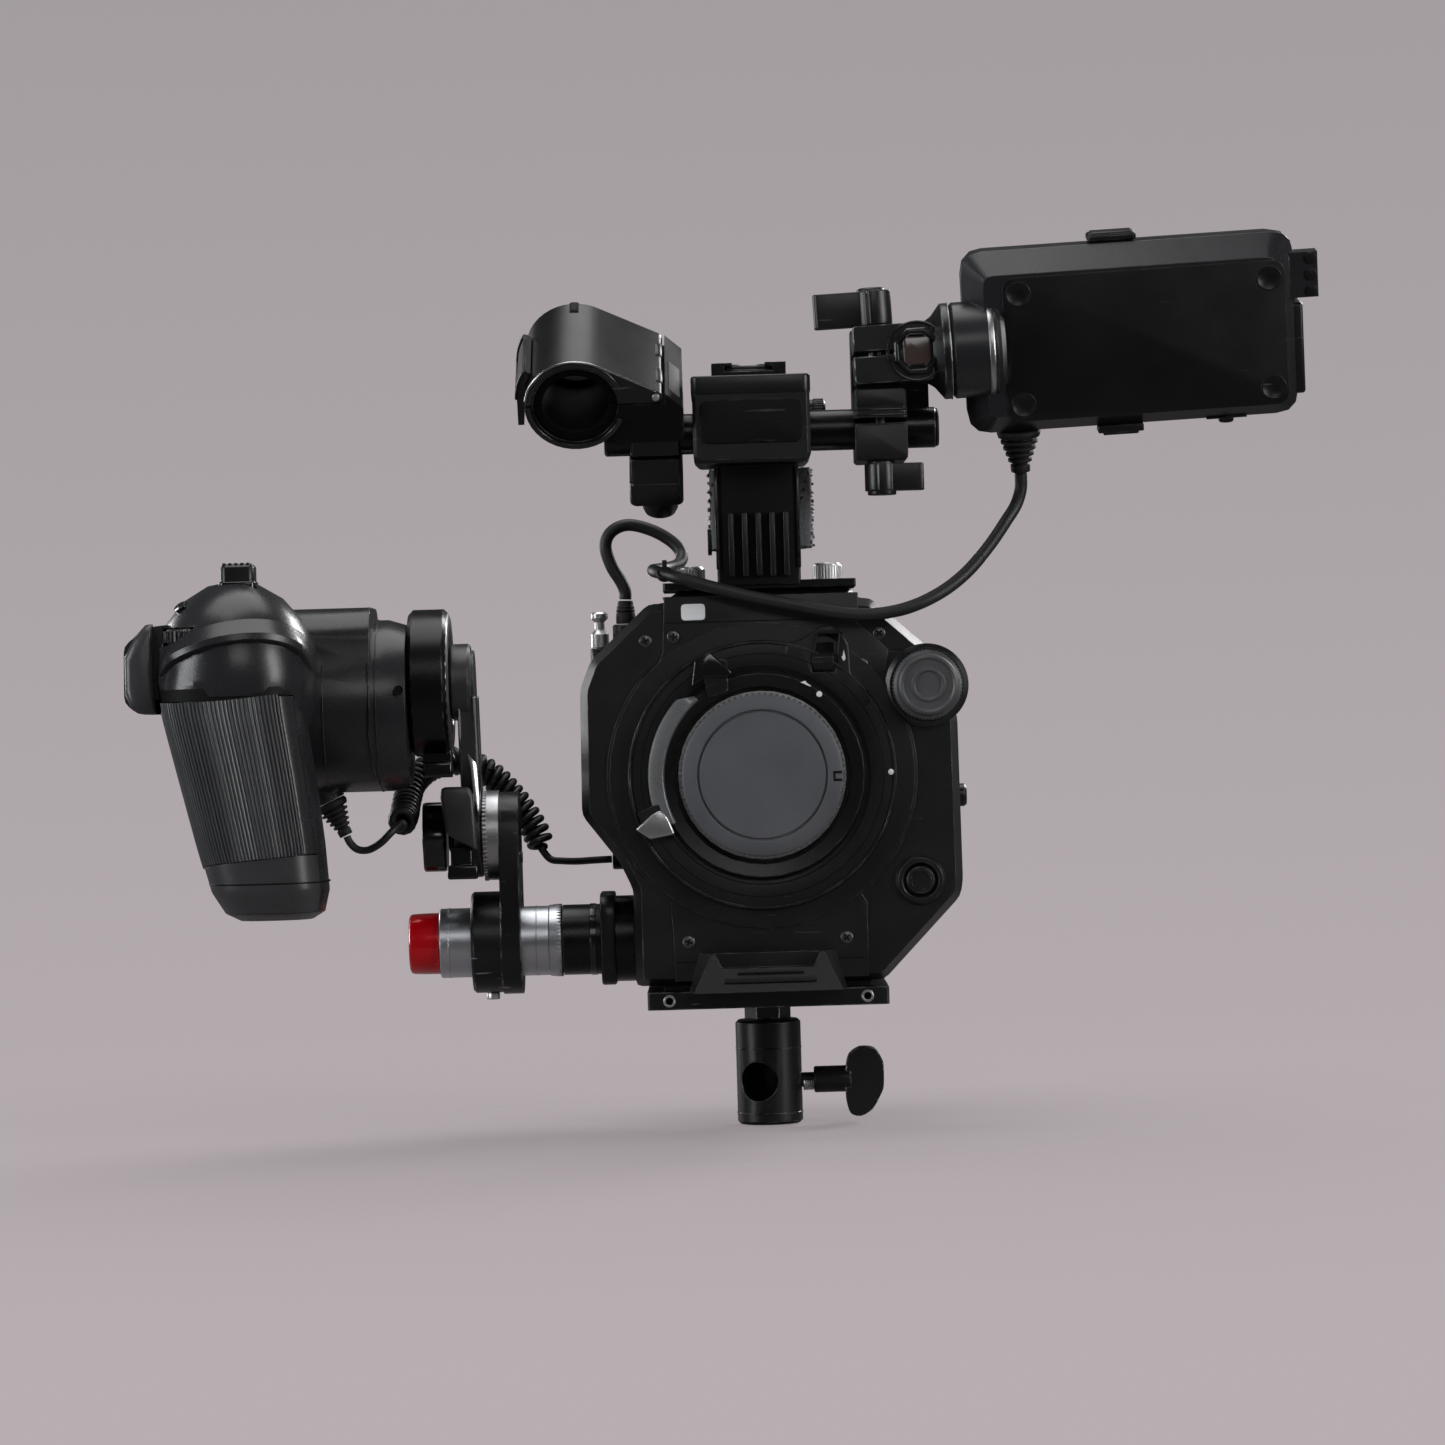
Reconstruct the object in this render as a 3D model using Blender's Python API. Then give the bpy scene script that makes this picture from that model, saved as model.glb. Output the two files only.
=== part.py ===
"""Cinema camera rig: body, lens mount, top handle, microphone holder, monitor arm and remote grip.

Every dimension below is in millimetres and the builders scale by MM, so the objects are in metres.
+Z is up, the lens looks along -Y, +X is to the right seen from the front, and the origin is the
centre of the mouth of the stand receiver.
"""

import math

import bmesh
import bpy
from mathutils import Matrix, Vector

MM = 0.001
GAP = 0.3

# Camera body
LENS_X = 0.0
LENS_Z = 143.0
FRONT_Y = -80.0
PLATE_BACK_Y = -70.0
SHELL_BACK_Y = 80.0
COVER_BACK_Y = 84.0
SHELL_INSET = 1.0
SHELL_WALL = 2.5
FRONT_OUTLINE = [
    (-52.0, 61.0), (46.0, 61.0), (76.8, 93.0), (78.0, 99.0), (77.6, 163.8), (68.4, 190.0),
    (44.6, 211.5), (39.0, 211.5), (37.0, 216.0), (-32.0, 216.0), (-36.5, 211.5), (-43.0, 211.5),
    (-66.5, 189.5), (-70.8, 178.5), (-71.4, 129.0), (-57.0, 110.0), (-52.0, 99.0),
]
BODY_TOP_Z = 216.0
BODY_BOTTOM_Z = 61.0

# Lens mount, radii about the lens axis
THROAT_R = 23.0
FLANGE_R = 33.0
MOUNT_RING_R = 60.0
MOUNT_FACE_Y = -84.0
LEVER_R = 41.0
LEVER_FACE_Y = -88.0
CAP_R = 32.2
LEVER_CLEARANCE = 2.6
CAP_FACE_Y = -93.0

# Controls on the front plate
ND_X, ND_Z, ND_R = 65.5, 176.4, 13.8
ND_WHEEL_X, ND_WHEEL_R, ND_FILTER_R = 27.0, 41.0, 11.5
WB_X, WB_Z, WB_R = 60.9, 100.0, 5.8
SLIDER_X, SLIDER_Z = 25.0, 188.4
SLIDER_WIDTH, SLIDER_HEIGHT, SLIDER_WINDOW = 8.2, 7.4, 11.4
TALLY_X, TALLY_Z, TALLY_WIDTH, TALLY_HEIGHT = -25.3, 207.6, 9.4, 6.4

# Side controls and sockets
AUDIO_Y, AUDIO_Z, AUDIO_R = -20.0, 132.0, 4.6
PIN_X, PIN_Y = -63.6, -20.0
PLUG_X, PLUG_Y = -52.8, -25.0
REMOTE_Y, REMOTE_Z = -18.0, 110.0

# Quick-release plate and stand receiver
PLATE_HALF_X = 47.6
PLATE_LOW_Z, PLATE_TOP_Z = 51.5, 58.5
PLATE_FRONT_Y, PLATE_REAR_Y = -75.0, 35.0
RECEIVER_R, RECEIVER_TOP_Z = 13.3, 42.5
SOCKET_R, SOCKET_DEPTH = 8.1, 36.0
CROSS_HOLE_Z, CROSS_HOLE_R, CROSS_HOLE_TURN = 17.7, 8.0, math.radians(-22.0)
SCREW_Z = 17.2

# Top handle
POST_X, POST_HALF = 1.1, 16.4
POST_FRONT_Y, POST_REAR_Y = -78.0, -50.0
BASE_TOP_Z = 219.3
HEAD_X = (-23.3, 22.5)
HEAD_Y = (-95.0, -45.0)
HEAD_Z = (265.0, 299.0)
BAR_HALF, BAR_LOW_Z, BAR_TOP_Z, BAR_REAR_Y = 12.5, 272.0, 296.0, 74.0
THUMB_X, THUMB_Y, THUMB_R = 27.3, -50.0, 6.0

# Cross rod
ROD_Y, ROD_Z, ROD_R = -70.0, 278.0, 8.0
ROD_X = (-58.4, 72.6)

# Microphone holder, in a frame on the rod that is pitched nose down
MIC_PITCH = math.radians(35.0)
MIC_X, MIC_UP = -68.5, 27.0
MIC_R, MIC_BORE_R = 19.8, 16.4
MIC_FRONT, MIC_BACK = -20.5, 24.0
LID_PIVOT = (-37.2, 30.0)
LATCH_PIVOT = (-86.4, 39.4)
MIC_KNOB_X = -37.2

# Monitor arm: rod clamp, square bar, cast hinge arm
CLAMP_X = (40.0, 60.4)
CLAMP_SCREW = (50.0, -84.0)
BAR_X, BAR_Z, BAR_SIDE = 64.8, 306.4, 12.0
ARM_ROLL = math.radians(-2.3)
HINGE_Y = -82.5
BAR_KNOB_X = 48.8

# Monitor, in a frame on its hinge that is pitched so that the screen looks up and back
MONITOR_PITCH = math.radians(15.0)
MONITOR_LEFT, MONITOR_RIGHT = 19.2, 149.6
MONITOR_LOW, MONITOR_HIGH = -34.4, 37.8
MONITOR_BACK, MONITOR_RIM, MONITOR_SPLIT, MONITOR_FRONT = -8.0, 3.0, 8.5, 18.5
DRUM_R = 18.8

# Side arm that carries the grip
TUBE_Y, TUBE_Z, TUBE_R = -35.0, 78.6, 13.9
SWING_Z, SWING_R = 121.4, 17.3
DISC_Y, DISC_Z, DISC_R = -55.0, 183.0, 29.2
GRIP_Y, GRIP_Z = -60.0, 174.5
REMOTE_X_END = -61.0
GRIP_SECTIONS = [
    ((-189.4, -104.0), (14.0, 15.0), 92.8),
    ((-189.8, -104.0), (19.0, 20.5), 95.6),
    ((-191.4, -104.0), (22.6, 24.0), 104.0),
    ((-194.4, -104.0), (24.4, 25.0), 122.0),
    ((-198.6, -104.0), (26.0, 25.6), 146.0),
    ((-203.4, -104.0), (27.4, 26.0), 172.0),
    ((-204.8, -104.0), (27.6, 26.0), 184.0),
    ((-205.0, -104.0), (24.0, 22.0), 200.0),
]
RUBBER_RANGE = (150.0, 330.0)
BOOT_TOP = (-171.6, -60.0, 137.2)

# Cables
MONITOR_CABLE_R = 2.5
REMOTE_LEAD_R = 1.5
COIL_R = 6.0
MONITOR_CABLE_ROUTE = [
    (105.95, -61.2, 259.4), (105.8, -59.7, 253.0), (103.6, -59.8, 246.6), (99.4, -62.4, 240.4),
    (94.8, -66.6, 234.0), (89.6, -71.0, 227.6), (83.4, -75.4, 221.0), (76.8, -79.4, 215.6),
    (70.0, -83.0, 211.4), (62.4, -85.6, 208.0), (54.2, -86.8, 205.7), (43.4, -87.2, 204.6),
    (30.4, -87.2, 205.8), (13.1, -86.8, 209.4), (-4.1, -86.4, 213.3), (-21.4, -85.4, 218.2),
    (-31.5, -83.4, 221.4), (-38.4, -77.0, 223.6), (-40.6, -67.0, 224.8), (-39.6, -55.0, 225.4),
    (-36.2, -43.0, 226.2), (-31.0, -34.0, 228.0), (-29.4, -28.6, 232.0), (-33.0, -26.2, 237.2),
    (-41.0, -25.0, 242.2), (-50.6, -24.4, 244.8), (-57.4, -24.6, 242.4), (-60.2, -24.8, 236.6),
    (-58.0, -25.0, 228.4), (-54.2, -25.0, 221.8), (-52.8, -25.0, 218.0), (-52.8, -25.0, 214.8),
]
COIL_ROUTE = [
    (-144.0, -57.0, 127.5), (-143.0, -46.0, 130.4), (-142.6, -33.0, 136.4), (-140.6, -21.0, 143.6),
    (-133.6, -12.0, 149.6), (-123.0, -6.4, 151.4), (-111.0, -4.2, 146.0), (-100.6, -4.0, 135.0),
    (-93.0, -5.0, 123.0), (-90.4, -6.0, 114.5),
]
LEAD_ROUTE = [
    (-165.1, -60.0, 123.2), (-163.9, -60.0, 120.6), (-161.0, -60.4, 117.9), (-156.6, -61.6, 117.6),
    (-151.6, -63.0, 120.2), (-147.4, -62.6, 124.2), (-144.6, -60.2, 126.8), (-144.2, -58.2, 127.2),
]
TAIL_ROUTE = [
    (-90.0, -6.2, 112.2), (-86.6, -7.4, 110.4), (-81.6, -9.4, 109.6), (-75.6, -12.6, 109.4),
    (-69.4, -15.8, 109.7), (-64.6, -17.6, 109.9), (-61.4, -18.0, 110.0),
]

COLOURS = {
    "body_black": ((0.012, 0.012, 0.014), 0.55, 0.0),
    "satin_black": ((0.02, 0.02, 0.022), 0.4, 0.0),
    "anodised_black": ((0.018, 0.017, 0.017), 0.35, 0.6),
    "cap_grey": ((0.05, 0.055, 0.065), 0.55, 0.0),
    "grip_plastic": ((0.03, 0.031, 0.033), 0.45, 0.0),
    "rubber_black": ((0.025, 0.025, 0.026), 0.7, 0.0),
    "bare_aluminium": ((0.62, 0.63, 0.65), 0.35, 1.0),
    "bright_steel": ((0.75, 0.75, 0.76), 0.22, 1.0),
    "red_anodised": ((0.62, 0.01, 0.008), 0.25, 0.7),
    "lamp_white": ((0.85, 0.85, 0.88), 0.3, 0.0),
    "strap_fabric": ((0.03, 0.03, 0.032), 0.95, 0.0),
    "circuit_green": ((0.02, 0.12, 0.05), 0.5, 0.0),
}


def clear_scene():
    for obj in list(bpy.data.objects):
        bpy.data.objects.remove(obj, do_unlink=True)


def finish_material(slot):
    """The Principled material of one finish, made once."""
    found = bpy.data.materials.get(slot)
    if found:
        return found
    colour, roughness, metallic = COLOURS[slot]
    made = bpy.data.materials.new(slot)
    made.use_nodes = True
    shader = made.node_tree.nodes["Principled BSDF"]
    shader.inputs["Base Color"].default_value = (*colour, 1.0)
    shader.inputs["Roughness"].default_value = roughness
    shader.inputs["Metallic"].default_value = metallic
    made.diffuse_color = (*colour, 1.0)
    return made


def empty(name, place, turn=None, parent=None):
    """A helper that places a group: place in millimetres, turn a rotation matrix."""
    obj = bpy.data.objects.new(name, None)
    obj.matrix_local = Matrix.Translation(Vector(place) * MM) @ (turn or Matrix.Identity(4))
    obj.parent = parent
    bpy.context.scene.collection.objects.link(obj)
    return obj


def put(name, bm, slot, origin=(0, 0, 0), parent=None, sharp=35.0):
    """Turns a bmesh in millimetres into an object with its origin at the given point."""
    bmesh.ops.remove_doubles(bm, verts=bm.verts, dist=0.001)
    bmesh.ops.recalc_face_normals(bm, faces=bm.faces)
    bmesh.ops.transform(bm, matrix=Matrix.Scale(MM, 4) @ Matrix.Translation(-Vector(origin)),
        verts=bm.verts)
    mesh = bpy.data.meshes.new(name)
    bm.to_mesh(mesh)
    bm.free()
    mesh.shade_smooth()
    mesh.set_sharp_from_angle(angle=math.radians(sharp))
    obj = bpy.data.objects.new(name, mesh)
    if slot:
        mesh.materials.append(finish_material(slot))
    obj.location = Vector(origin) * MM
    obj.parent = parent
    bpy.context.scene.collection.objects.link(obj)
    return obj


def combine(obj, bm, operation):
    """A Boolean of the object with a hidden helper, given in the object's parent frame."""
    tag = f"{operation.lower()}_{obj.name}_{len(obj.modifiers)}"
    tool = put(tag, bm, None, parent=obj.parent)
    tool.hide_render = True
    tool.display_type = "WIRE"
    modifier = obj.modifiers.new(tag, "BOOLEAN")
    modifier.operation = operation
    modifier.solver = "EXACT"
    modifier.object = tool
    return obj


def cut(obj, *shapes):
    for bm in shapes:
        combine(obj, bm, "DIFFERENCE")
    return obj


def join(obj, *shapes):
    for bm in shapes:
        combine(obj, bm, "UNION")
    return obj


def bevel(obj, width, segments=1, limit=40.0):
    modifier = obj.modifiers.new("edge", "BEVEL")
    modifier.width = width * MM
    modifier.segments = segments
    modifier.limit_method = "ANGLE"
    modifier.angle_limit = math.radians(limit)
    return obj


def in_space(axis, first, second, along):
    """A point from two cross-section values and one along the axis."""
    return {"X": (along, first, second), "Y": (first, along, second), "Z": (first, second, along)}[axis]


def prism(points, axis, low, high, near=None):
    """An outline pushed along an axis; near is a smaller outline of equal length for the low end."""
    near = near or points
    return loft([[in_space(axis, a, b, low) for a, b in near],
        [in_space(axis, a, b, high) for a, b in points]])


def box(x, y, z):
    return prism([(x[0], z[0]), (x[1], z[0]), (x[1], z[1]), (x[0], z[1])], "Y", y[0], y[1])


def loft(sections):
    """A closed skin through sections of equal length, capped at both ends."""
    bm = bmesh.new()
    rings = [[bm.verts.new(point) for point in section] for section in sections]
    count = len(rings[0])
    for near, far in zip(rings, rings[1:]):
        for i in range(count):
            j = (i + 1) % count
            bm.faces.new((near[i], near[j], far[j], far[i]))
    bm.faces.new(rings[0])
    bm.faces.new(reversed(rings[-1]))
    return bm


def lathe(profile, axis, centre, steps=32, ring=False):
    """A profile of (radius, along) turned about an axis through centre, given across that axis."""
    bm = bmesh.new()
    rows = []
    for radius, along in profile:
        if radius == 0:
            rows.append([bm.verts.new(in_space(axis, centre[0], centre[1], along))] * steps)
            continue
        turns = [2 * math.pi * i / steps for i in range(steps)]
        rows.append([bm.verts.new(in_space(axis, centre[0] + radius * math.cos(t),
            centre[1] + radius * math.sin(t), along)) for t in turns ])
    pairs = list(zip(rows, rows[1:]))
    if ring:
        pairs.append((rows[-1], rows[0]))
    for near, far in pairs:
        for i in range(steps):
            j = (i + 1) % steps
            corners = list(dict.fromkeys((near[i], near[j], far[j], far[i])))
            if len(corners) > 2:
                bm.faces.new(corners)
    return bm


def rod(radius, axis, centre, low, high, chamfer=0.0, steps=24):
    profile = [(0, low), (radius - chamfer, low), (radius, low + chamfer)]
    profile += [(radius, high - chamfer), (radius - chamfer, high), (0, high)]
    if not chamfer:
        profile = [(0, low), (radius, low), (radius, high), (0, high)]
    return lathe(profile, axis, centre, steps)


def pipe(outer, inner, axis, centre, low, high, chamfer=0.5, steps=32):
    profile = [(inner, low), (outer - chamfer, low), (outer, low + chamfer)]
    profile += [(outer, high - chamfer), (outer - chamfer, high), (inner, high)]
    return lathe(profile, axis, centre, steps, ring=True)


def arc(centre, radius, start, end, steps):
    """Points on an arc, angles in degrees."""
    turns = [math.radians(start + (end - start) * i / steps) for i in range(steps + 1)]
    return [(centre[0] + radius * math.cos(t), centre[1] + radius * math.sin(t)) for t in turns]


def offset_outline(points, distance):
    """The outline moved inwards by the distance; points run anticlockwise."""
    moved = []
    for i, here in enumerate(points):
        before, after = Vector(points[i - 1]), Vector(points[(i + 1) % len(points)])
        here = Vector(here)
        first, second = (here - before).normalized(), (after - here).normalized()
        normal = Vector((-first.y - second.y, first.x + second.x))
        scale = distance / max(0.3, 0.5 * normal.length_squared)
        moved.append(tuple(here + normal * scale))
    return moved


def rounded(points, radius, steps=2):
    """The outline with each corner replaced by a short curve."""
    result = []
    for i, here in enumerate(points):
        here = Vector(here)
        before, after = Vector(points[i - 1]) - here, Vector(points[(i + 1) % len(points)]) - here
        start = here + before.normalized() * min(radius, before.length * 0.45)
        end = here + after.normalized() * min(radius, after.length * 0.45)
        for k in range(steps + 1):
            t = k / steps
            result.append(tuple(start * (1 - t) ** 2 + here * 2 * t * (1 - t) + end * t ** 2))
    return result


def rectangle(x, z):
    return [(x[0], z[0]), (x[1], z[0]), (x[1], z[1]), (x[0], z[1])]


def stadium(first, first_r, second, second_r, steps=10):
    """The outline round two circles, one above the other in the second value."""
    lean = math.degrees(math.atan2(second[0] - first[0], second[1] - first[1]))
    return arc(first, first_r, 180 - lean, 360 - lean, steps) + arc(second, second_r, -lean, 180 - lean,
        steps)


def smooth_points(route, spacing):
    """Points read at even steps from a smooth curve through the route's own points."""
    ends = [Vector(route[0]) * 2 - Vector(route[1]), *map(Vector, route),
        Vector(route[-1]) * 2 - Vector(route[-2])]
    fine = []
    for a, b, c, d in zip(ends, ends[1:], ends[2:], ends[3:]):
        for k in range(24):
            t = k / 24
            square = (2 * a - 5 * b + 4 * c - d) * t ** 2
            cube = (3 * b - a - 3 * c + d) * t ** 3
            fine.append(0.5 * (2 * b + (c - a) * t + square + cube))
    fine.append(Vector(route[-1]))
    length = sum((b - a).length for a, b in zip(fine, fine[1:]))
    count = max(4, round(length / spacing))
    points, walked, target = [fine[0]], 0.0, length / count
    for a, b in zip(fine, fine[1:]):
        walked += (b - a).length
        if walked >= target * len(points) and len(points) < count:
            points.append(b)
    points.append(fine[-1])
    return points


def tube(name, route, radius, slot, spacing, sides):
    """A cable as a bevelled curve with filled caps."""
    curve = bpy.data.curves.new(name, "CURVE")
    curve.dimensions = "3D"
    curve.bevel_depth = radius * MM
    curve.bevel_resolution = sides
    curve.use_fill_caps = True
    points = smooth_points(route, spacing)
    spline = curve.splines.new("POLY")
    spline.points.add(len(points) - 1)
    for target, point in zip(spline.points, points):
        target.co = (*(point * MM), 1.0)
    curve.materials.append(finish_material(slot))
    obj = bpy.data.objects.new(name, curve)
    bpy.context.scene.collection.objects.link(obj)
    return obj


def build_receiver():
    shape = lathe([(0, SOCKET_DEPTH + 3), (SOCKET_R, SOCKET_DEPTH), (SOCKET_R, 1.2), (SOCKET_R + 1.2, 0),
        (RECEIVER_R - 1.2, 0), (RECEIVER_R, 1.2), (RECEIVER_R, RECEIVER_TOP_Z - 1.2),
        (RECEIVER_R - 1.2, RECEIVER_TOP_Z), (0, RECEIVER_TOP_Z)], "Z", (0, 0), 28)
    receiver = put("stand_receiver", shape, "anodised_black")
    window = rod(CROSS_HOLE_R, "Y", (0, CROSS_HOLE_Z), -30, 0)
    bmesh.ops.transform(window, matrix=Matrix.Rotation(CROSS_HOLE_TURN, 4, "Z"), verts=window.verts)
    cut(receiver, window, rod(3.4, "X", (0, SCREW_Z), 4, 20, steps=16))
    return receiver


def build_t_screw():
    """The clamping screw with its wing, turning about X."""
    shaft = lathe([(0, 9.4), (2.6, 9.4), (3.0, 9.9), (3.0, 18.2), (5.0, 18.2), (5.4, 18.8), (5.4, 33.0),
        (0, 33.0)], "X", (0, SCREW_Z), 20)
    screw = put("t_screw", shaft, "satin_black", origin=(0, 0, SCREW_Z))
    wing = rounded([(31.0, 9.0), (32.4, 2.8), (37.0, 1.6), (42.0, 4.6), (46.6, 13.0), (46.8, 24.0),
        (43.4, 29.8), (37.0, 30.4), (32.4, 27.4), (31.0, 21.0)], 2.0)
    join(screw, prism([(x, z) for x, z in wing], "Y", -4.2, 4.2))
    return screw


def build_plate():
    outline = rounded(rectangle((-PLATE_HALF_X, PLATE_HALF_X), (PLATE_FRONT_Y, PLATE_REAR_Y)), 2.0)
    plate = put("mounting_plate", prism(outline, "Z", PLATE_LOW_Z, PLATE_TOP_Z), "anodised_black")
    neck = lathe([(0, RECEIVER_TOP_Z + GAP), (9.4, RECEIVER_TOP_Z + GAP), (9.4, PLATE_LOW_Z + 1),
        (0, PLATE_LOW_Z + 1)], "Z", (0, 0), 6)
    join(plate, neck)
    for side in (-1, 1):
        cut(plate, rod(2.2, "Y", (side * 39.0, 55.0), PLATE_FRONT_Y - 5, PLATE_FRONT_Y + 9, steps=12))
    return plate


def build_foot():
    """The base block under the body with the sloping lug that shows in front."""
    base = prism(rectangle((-41.0, 41.0), (-69.0, 32.0)), "Z", PLATE_TOP_Z + GAP, BODY_BOTTOM_Z - GAP)
    foot = put("front_foot", base, "body_black")
    low = [(x, -97.0) for x in (-29.0, 29.0)] + [(31.0, -80.0 - GAP), (-31.0, -80.0 - GAP)]
    high = [(x, -92.0) for x in (-22.0, 22.0)] + [(27.0, -80.0 - GAP), (-27.0, -80.0 - GAP)]
    lug = loft([[(x, y, PLATE_TOP_Z + GAP) for x, y in low], [(x, y, 73.8) for x, y in high]])
    join(foot, lug, box((-30.0, 30.0), (-82.0, -60.0), (PLATE_TOP_Z + GAP, BODY_BOTTOM_Z - GAP)))
    cut(foot, prism([(-18.0, 68.0), (18.0, 68.0), (24.0, 80.0), (-24.0, 80.0)], "Y", -110, -86.0))
    return foot


def build_front_plate():
    outline = rounded(FRONT_OUTLINE, 2.5)
    near = rounded(offset_outline(FRONT_OUTLINE, 3.2), 1.5)
    plate = put("front_plate", prism(outline, "Y", FRONT_Y, PLATE_BACK_Y, near), "body_black")
    cut(plate, rod(FLANGE_R + GAP, "Y", (LENS_X, LENS_Z), -100, -60, steps=36))
    cut(plate, rod(WB_R + 0.5, "Y", (WB_X, WB_Z), -100, -74, steps=20))
    cut(plate, rod(3.4, "Y", (ND_X, ND_Z), -100, -60, steps=12))
    lamp_x = (TALLY_X - TALLY_WIDTH / 2 - GAP, TALLY_X + TALLY_WIDTH / 2 + GAP)
    lamp_z = (TALLY_Z - TALLY_HEIGHT / 2 - GAP, TALLY_Z + TALLY_HEIGHT / 2 + GAP)
    cut(plate, box(lamp_x, (-100, -77), lamp_z))
    return plate


def build_tally_lamp():
    x = (TALLY_X - TALLY_WIDTH / 2, TALLY_X + TALLY_WIDTH / 2)
    z = (TALLY_Z - TALLY_HEIGHT / 2, TALLY_Z + TALLY_HEIGHT / 2)
    return put("tally_lamp", prism(rounded(rectangle(x, z), 1.4), "Y", FRONT_Y - 0.5, -77.4), "lamp_white")


def build_shell():
    outline = offset_outline(FRONT_OUTLINE, SHELL_INSET)
    shell = put("body_shell", prism(outline, "Y", PLATE_BACK_Y + GAP, SHELL_BACK_Y), "body_black")
    socket = rod(5.4, "Z", (PLUG_X, PLUG_Y), 196, 204.7, 0.6, 16)
    pin_base = rod(3.9, "Z", (PIN_X, PIN_Y), 183, 195.4, 0.5, 12)
    remote = rod(4.2, "X", (REMOTE_Y, REMOTE_Z), REMOTE_X_END, -50, 0.5, 12)
    join(shell, socket, pin_base, remote)
    hollow = offset_outline(FRONT_OUTLINE, SHELL_INSET + SHELL_WALL)
    cut(shell, prism(hollow, "Y", PLATE_BACK_Y - 10, SHELL_BACK_Y + 10))
    cut(shell, rod(3.2, "X", (AUDIO_Y, AUDIO_Z), 60, 90, steps=12),
        rod(2.3, "Z", (PIN_X, PIN_Y), 180, 200, steps=12))
    return shell


def build_rear_cover():
    outline = offset_outline(FRONT_OUTLINE, SHELL_INSET + 0.5)
    cover = put("rear_cover",
        prism(outline, "Y", COVER_BACK_Y, SHELL_BACK_Y + GAP, offset_outline(outline, 1.5)), "body_black")
    cut(cover, box((-24.6, 24.6), (82.0, 100), (90.0, 178.0)))
    return cover


def build_battery():
    outline = rounded(rectangle((-24.0, 24.0), (90.6, 177.4)), 3.0)
    near = rounded(rectangle((-22.6, 22.6), (92.0, 176.0)), 3.0)
    return put("battery", prism(outline, "Y", 106.0, 82.4, near), "satin_black")


def build_mount():
    centre = (LENS_X, LENS_Z)
    ring = [(FLANGE_R + GAP, FRONT_Y - GAP), (MOUNT_RING_R, FRONT_Y - GAP), (MOUNT_RING_R, -81.2),
        (52.6, -81.8), (52.0, -83.4), (43.4, -84.6), (LEVER_R + 0.9, MOUNT_FACE_Y),
        (FLANGE_R + GAP, MOUNT_FACE_Y)]
    mount = put("mount_ring", lathe(ring, "Y", centre, 40, ring=True), "body_black")
    half = SLIDER_WIDTH / 2 + 0.4
    window = (SLIDER_Z - SLIDER_WINDOW / 2, SLIDER_Z + SLIDER_WINDOW / 2)
    cut(mount, box((SLIDER_X - half, SLIDER_X + half), (-100, -70), window))
    flange = [(THROAT_R, -72.0), (FLANGE_R, -72.0), (FLANGE_R, MOUNT_FACE_Y), (THROAT_R, MOUNT_FACE_Y)]
    put("bayonet_flange", lathe(flange, "Y", centre, 36, ring=True), "bright_steel")


def build_lock_lever():
    """The ring lever that turns about the lens axis, with its two thumb tabs."""
    centre = (LENS_X, LENS_Z)
    ring = [(CAP_R + LEVER_CLEARANCE, MOUNT_FACE_Y - GAP), (LEVER_R, MOUNT_FACE_Y - GAP - 0.7),
        (LEVER_R - 1.2, LEVER_FACE_Y), (CAP_R + LEVER_CLEARANCE, LEVER_FACE_Y + 1.0)]
    lever = put("lock_lever", lathe(ring, "Y", centre, 36, ring=True), "satin_black",
        origin=(LENS_X, 0, LENS_Z))
    lower_tab = [(-36.0, 121.5), (-46.5, 123.2), (-49.5, 129.6), (-41.0, 133.0), (-36.2, 130.0)]
    upper_tab = [(-12.6, 176.0), (-12.4, 188.4), (-23.6, 189.2), (-21.6, 181.0), (-20.4, 174.0)]
    for tab in (lower_tab, upper_tab):
        join(lever, prism(rounded(list(reversed(tab)), 1.2), "Y", -88.6, -85.1))
    return lever


def build_body_cap():
    rim = [(0, MOUNT_FACE_Y - GAP), (CAP_R - 0.8, MOUNT_FACE_Y - GAP), (CAP_R, -85.2), (CAP_R, -92.0),
        (CAP_R - 1.2, CAP_FACE_Y), (23.8, CAP_FACE_Y), (23.2, -92.3), (22.6, CAP_FACE_Y + 0.1),
        (0, CAP_FACE_Y + 0.1)]
    cap = put("body_cap", lathe(rim, "Y", (LENS_X, LENS_Z), 36), "cap_grey", origin=(LENS_X, 0, LENS_Z))
    bayonet = rod(THROAT_R - 0.5, "Y", (LENS_X, LENS_Z), MOUNT_FACE_Y - 1.5, -78.5, 0, 24)
    join(cap, bayonet)
    return cap


def build_sensor_unit():
    """The sensor block with its board behind it, on the lens axis."""
    unit = put("sensor_unit", box((-21.0, 21.0), (-62.0, -54.0), (LENS_Z - 17.0, LENS_Z + 17.0)),
        "circuit_green")
    join(unit, box((-46.0, 46.0), (-54.5, -51.0), (100.0, 186.0)))
    return unit


def build_nd_wheel():
    """The filter wheel between the mount and the sensor, driven by the front knob."""
    centre = (ND_WHEEL_X, LENS_Z)
    wheel = put("nd_wheel", rod(ND_WHEEL_R, "Y", centre, -68.0, -65.6, 0, 32), "anodised_black",
        origin=(ND_WHEEL_X, -67, LENS_Z))
    for turn in range(4):
        angle = math.pi * turn / 2
        place = (ND_WHEEL_X - ND_WHEEL_X * math.cos(angle), LENS_Z + ND_WHEEL_X * math.sin(angle))
        depth = (-80, -50) if turn == 0 else (-80, -66.6)
        cut(wheel, rod(ND_FILTER_R, "Y", place, depth[0], depth[1], steps=14))
    return wheel


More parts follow.
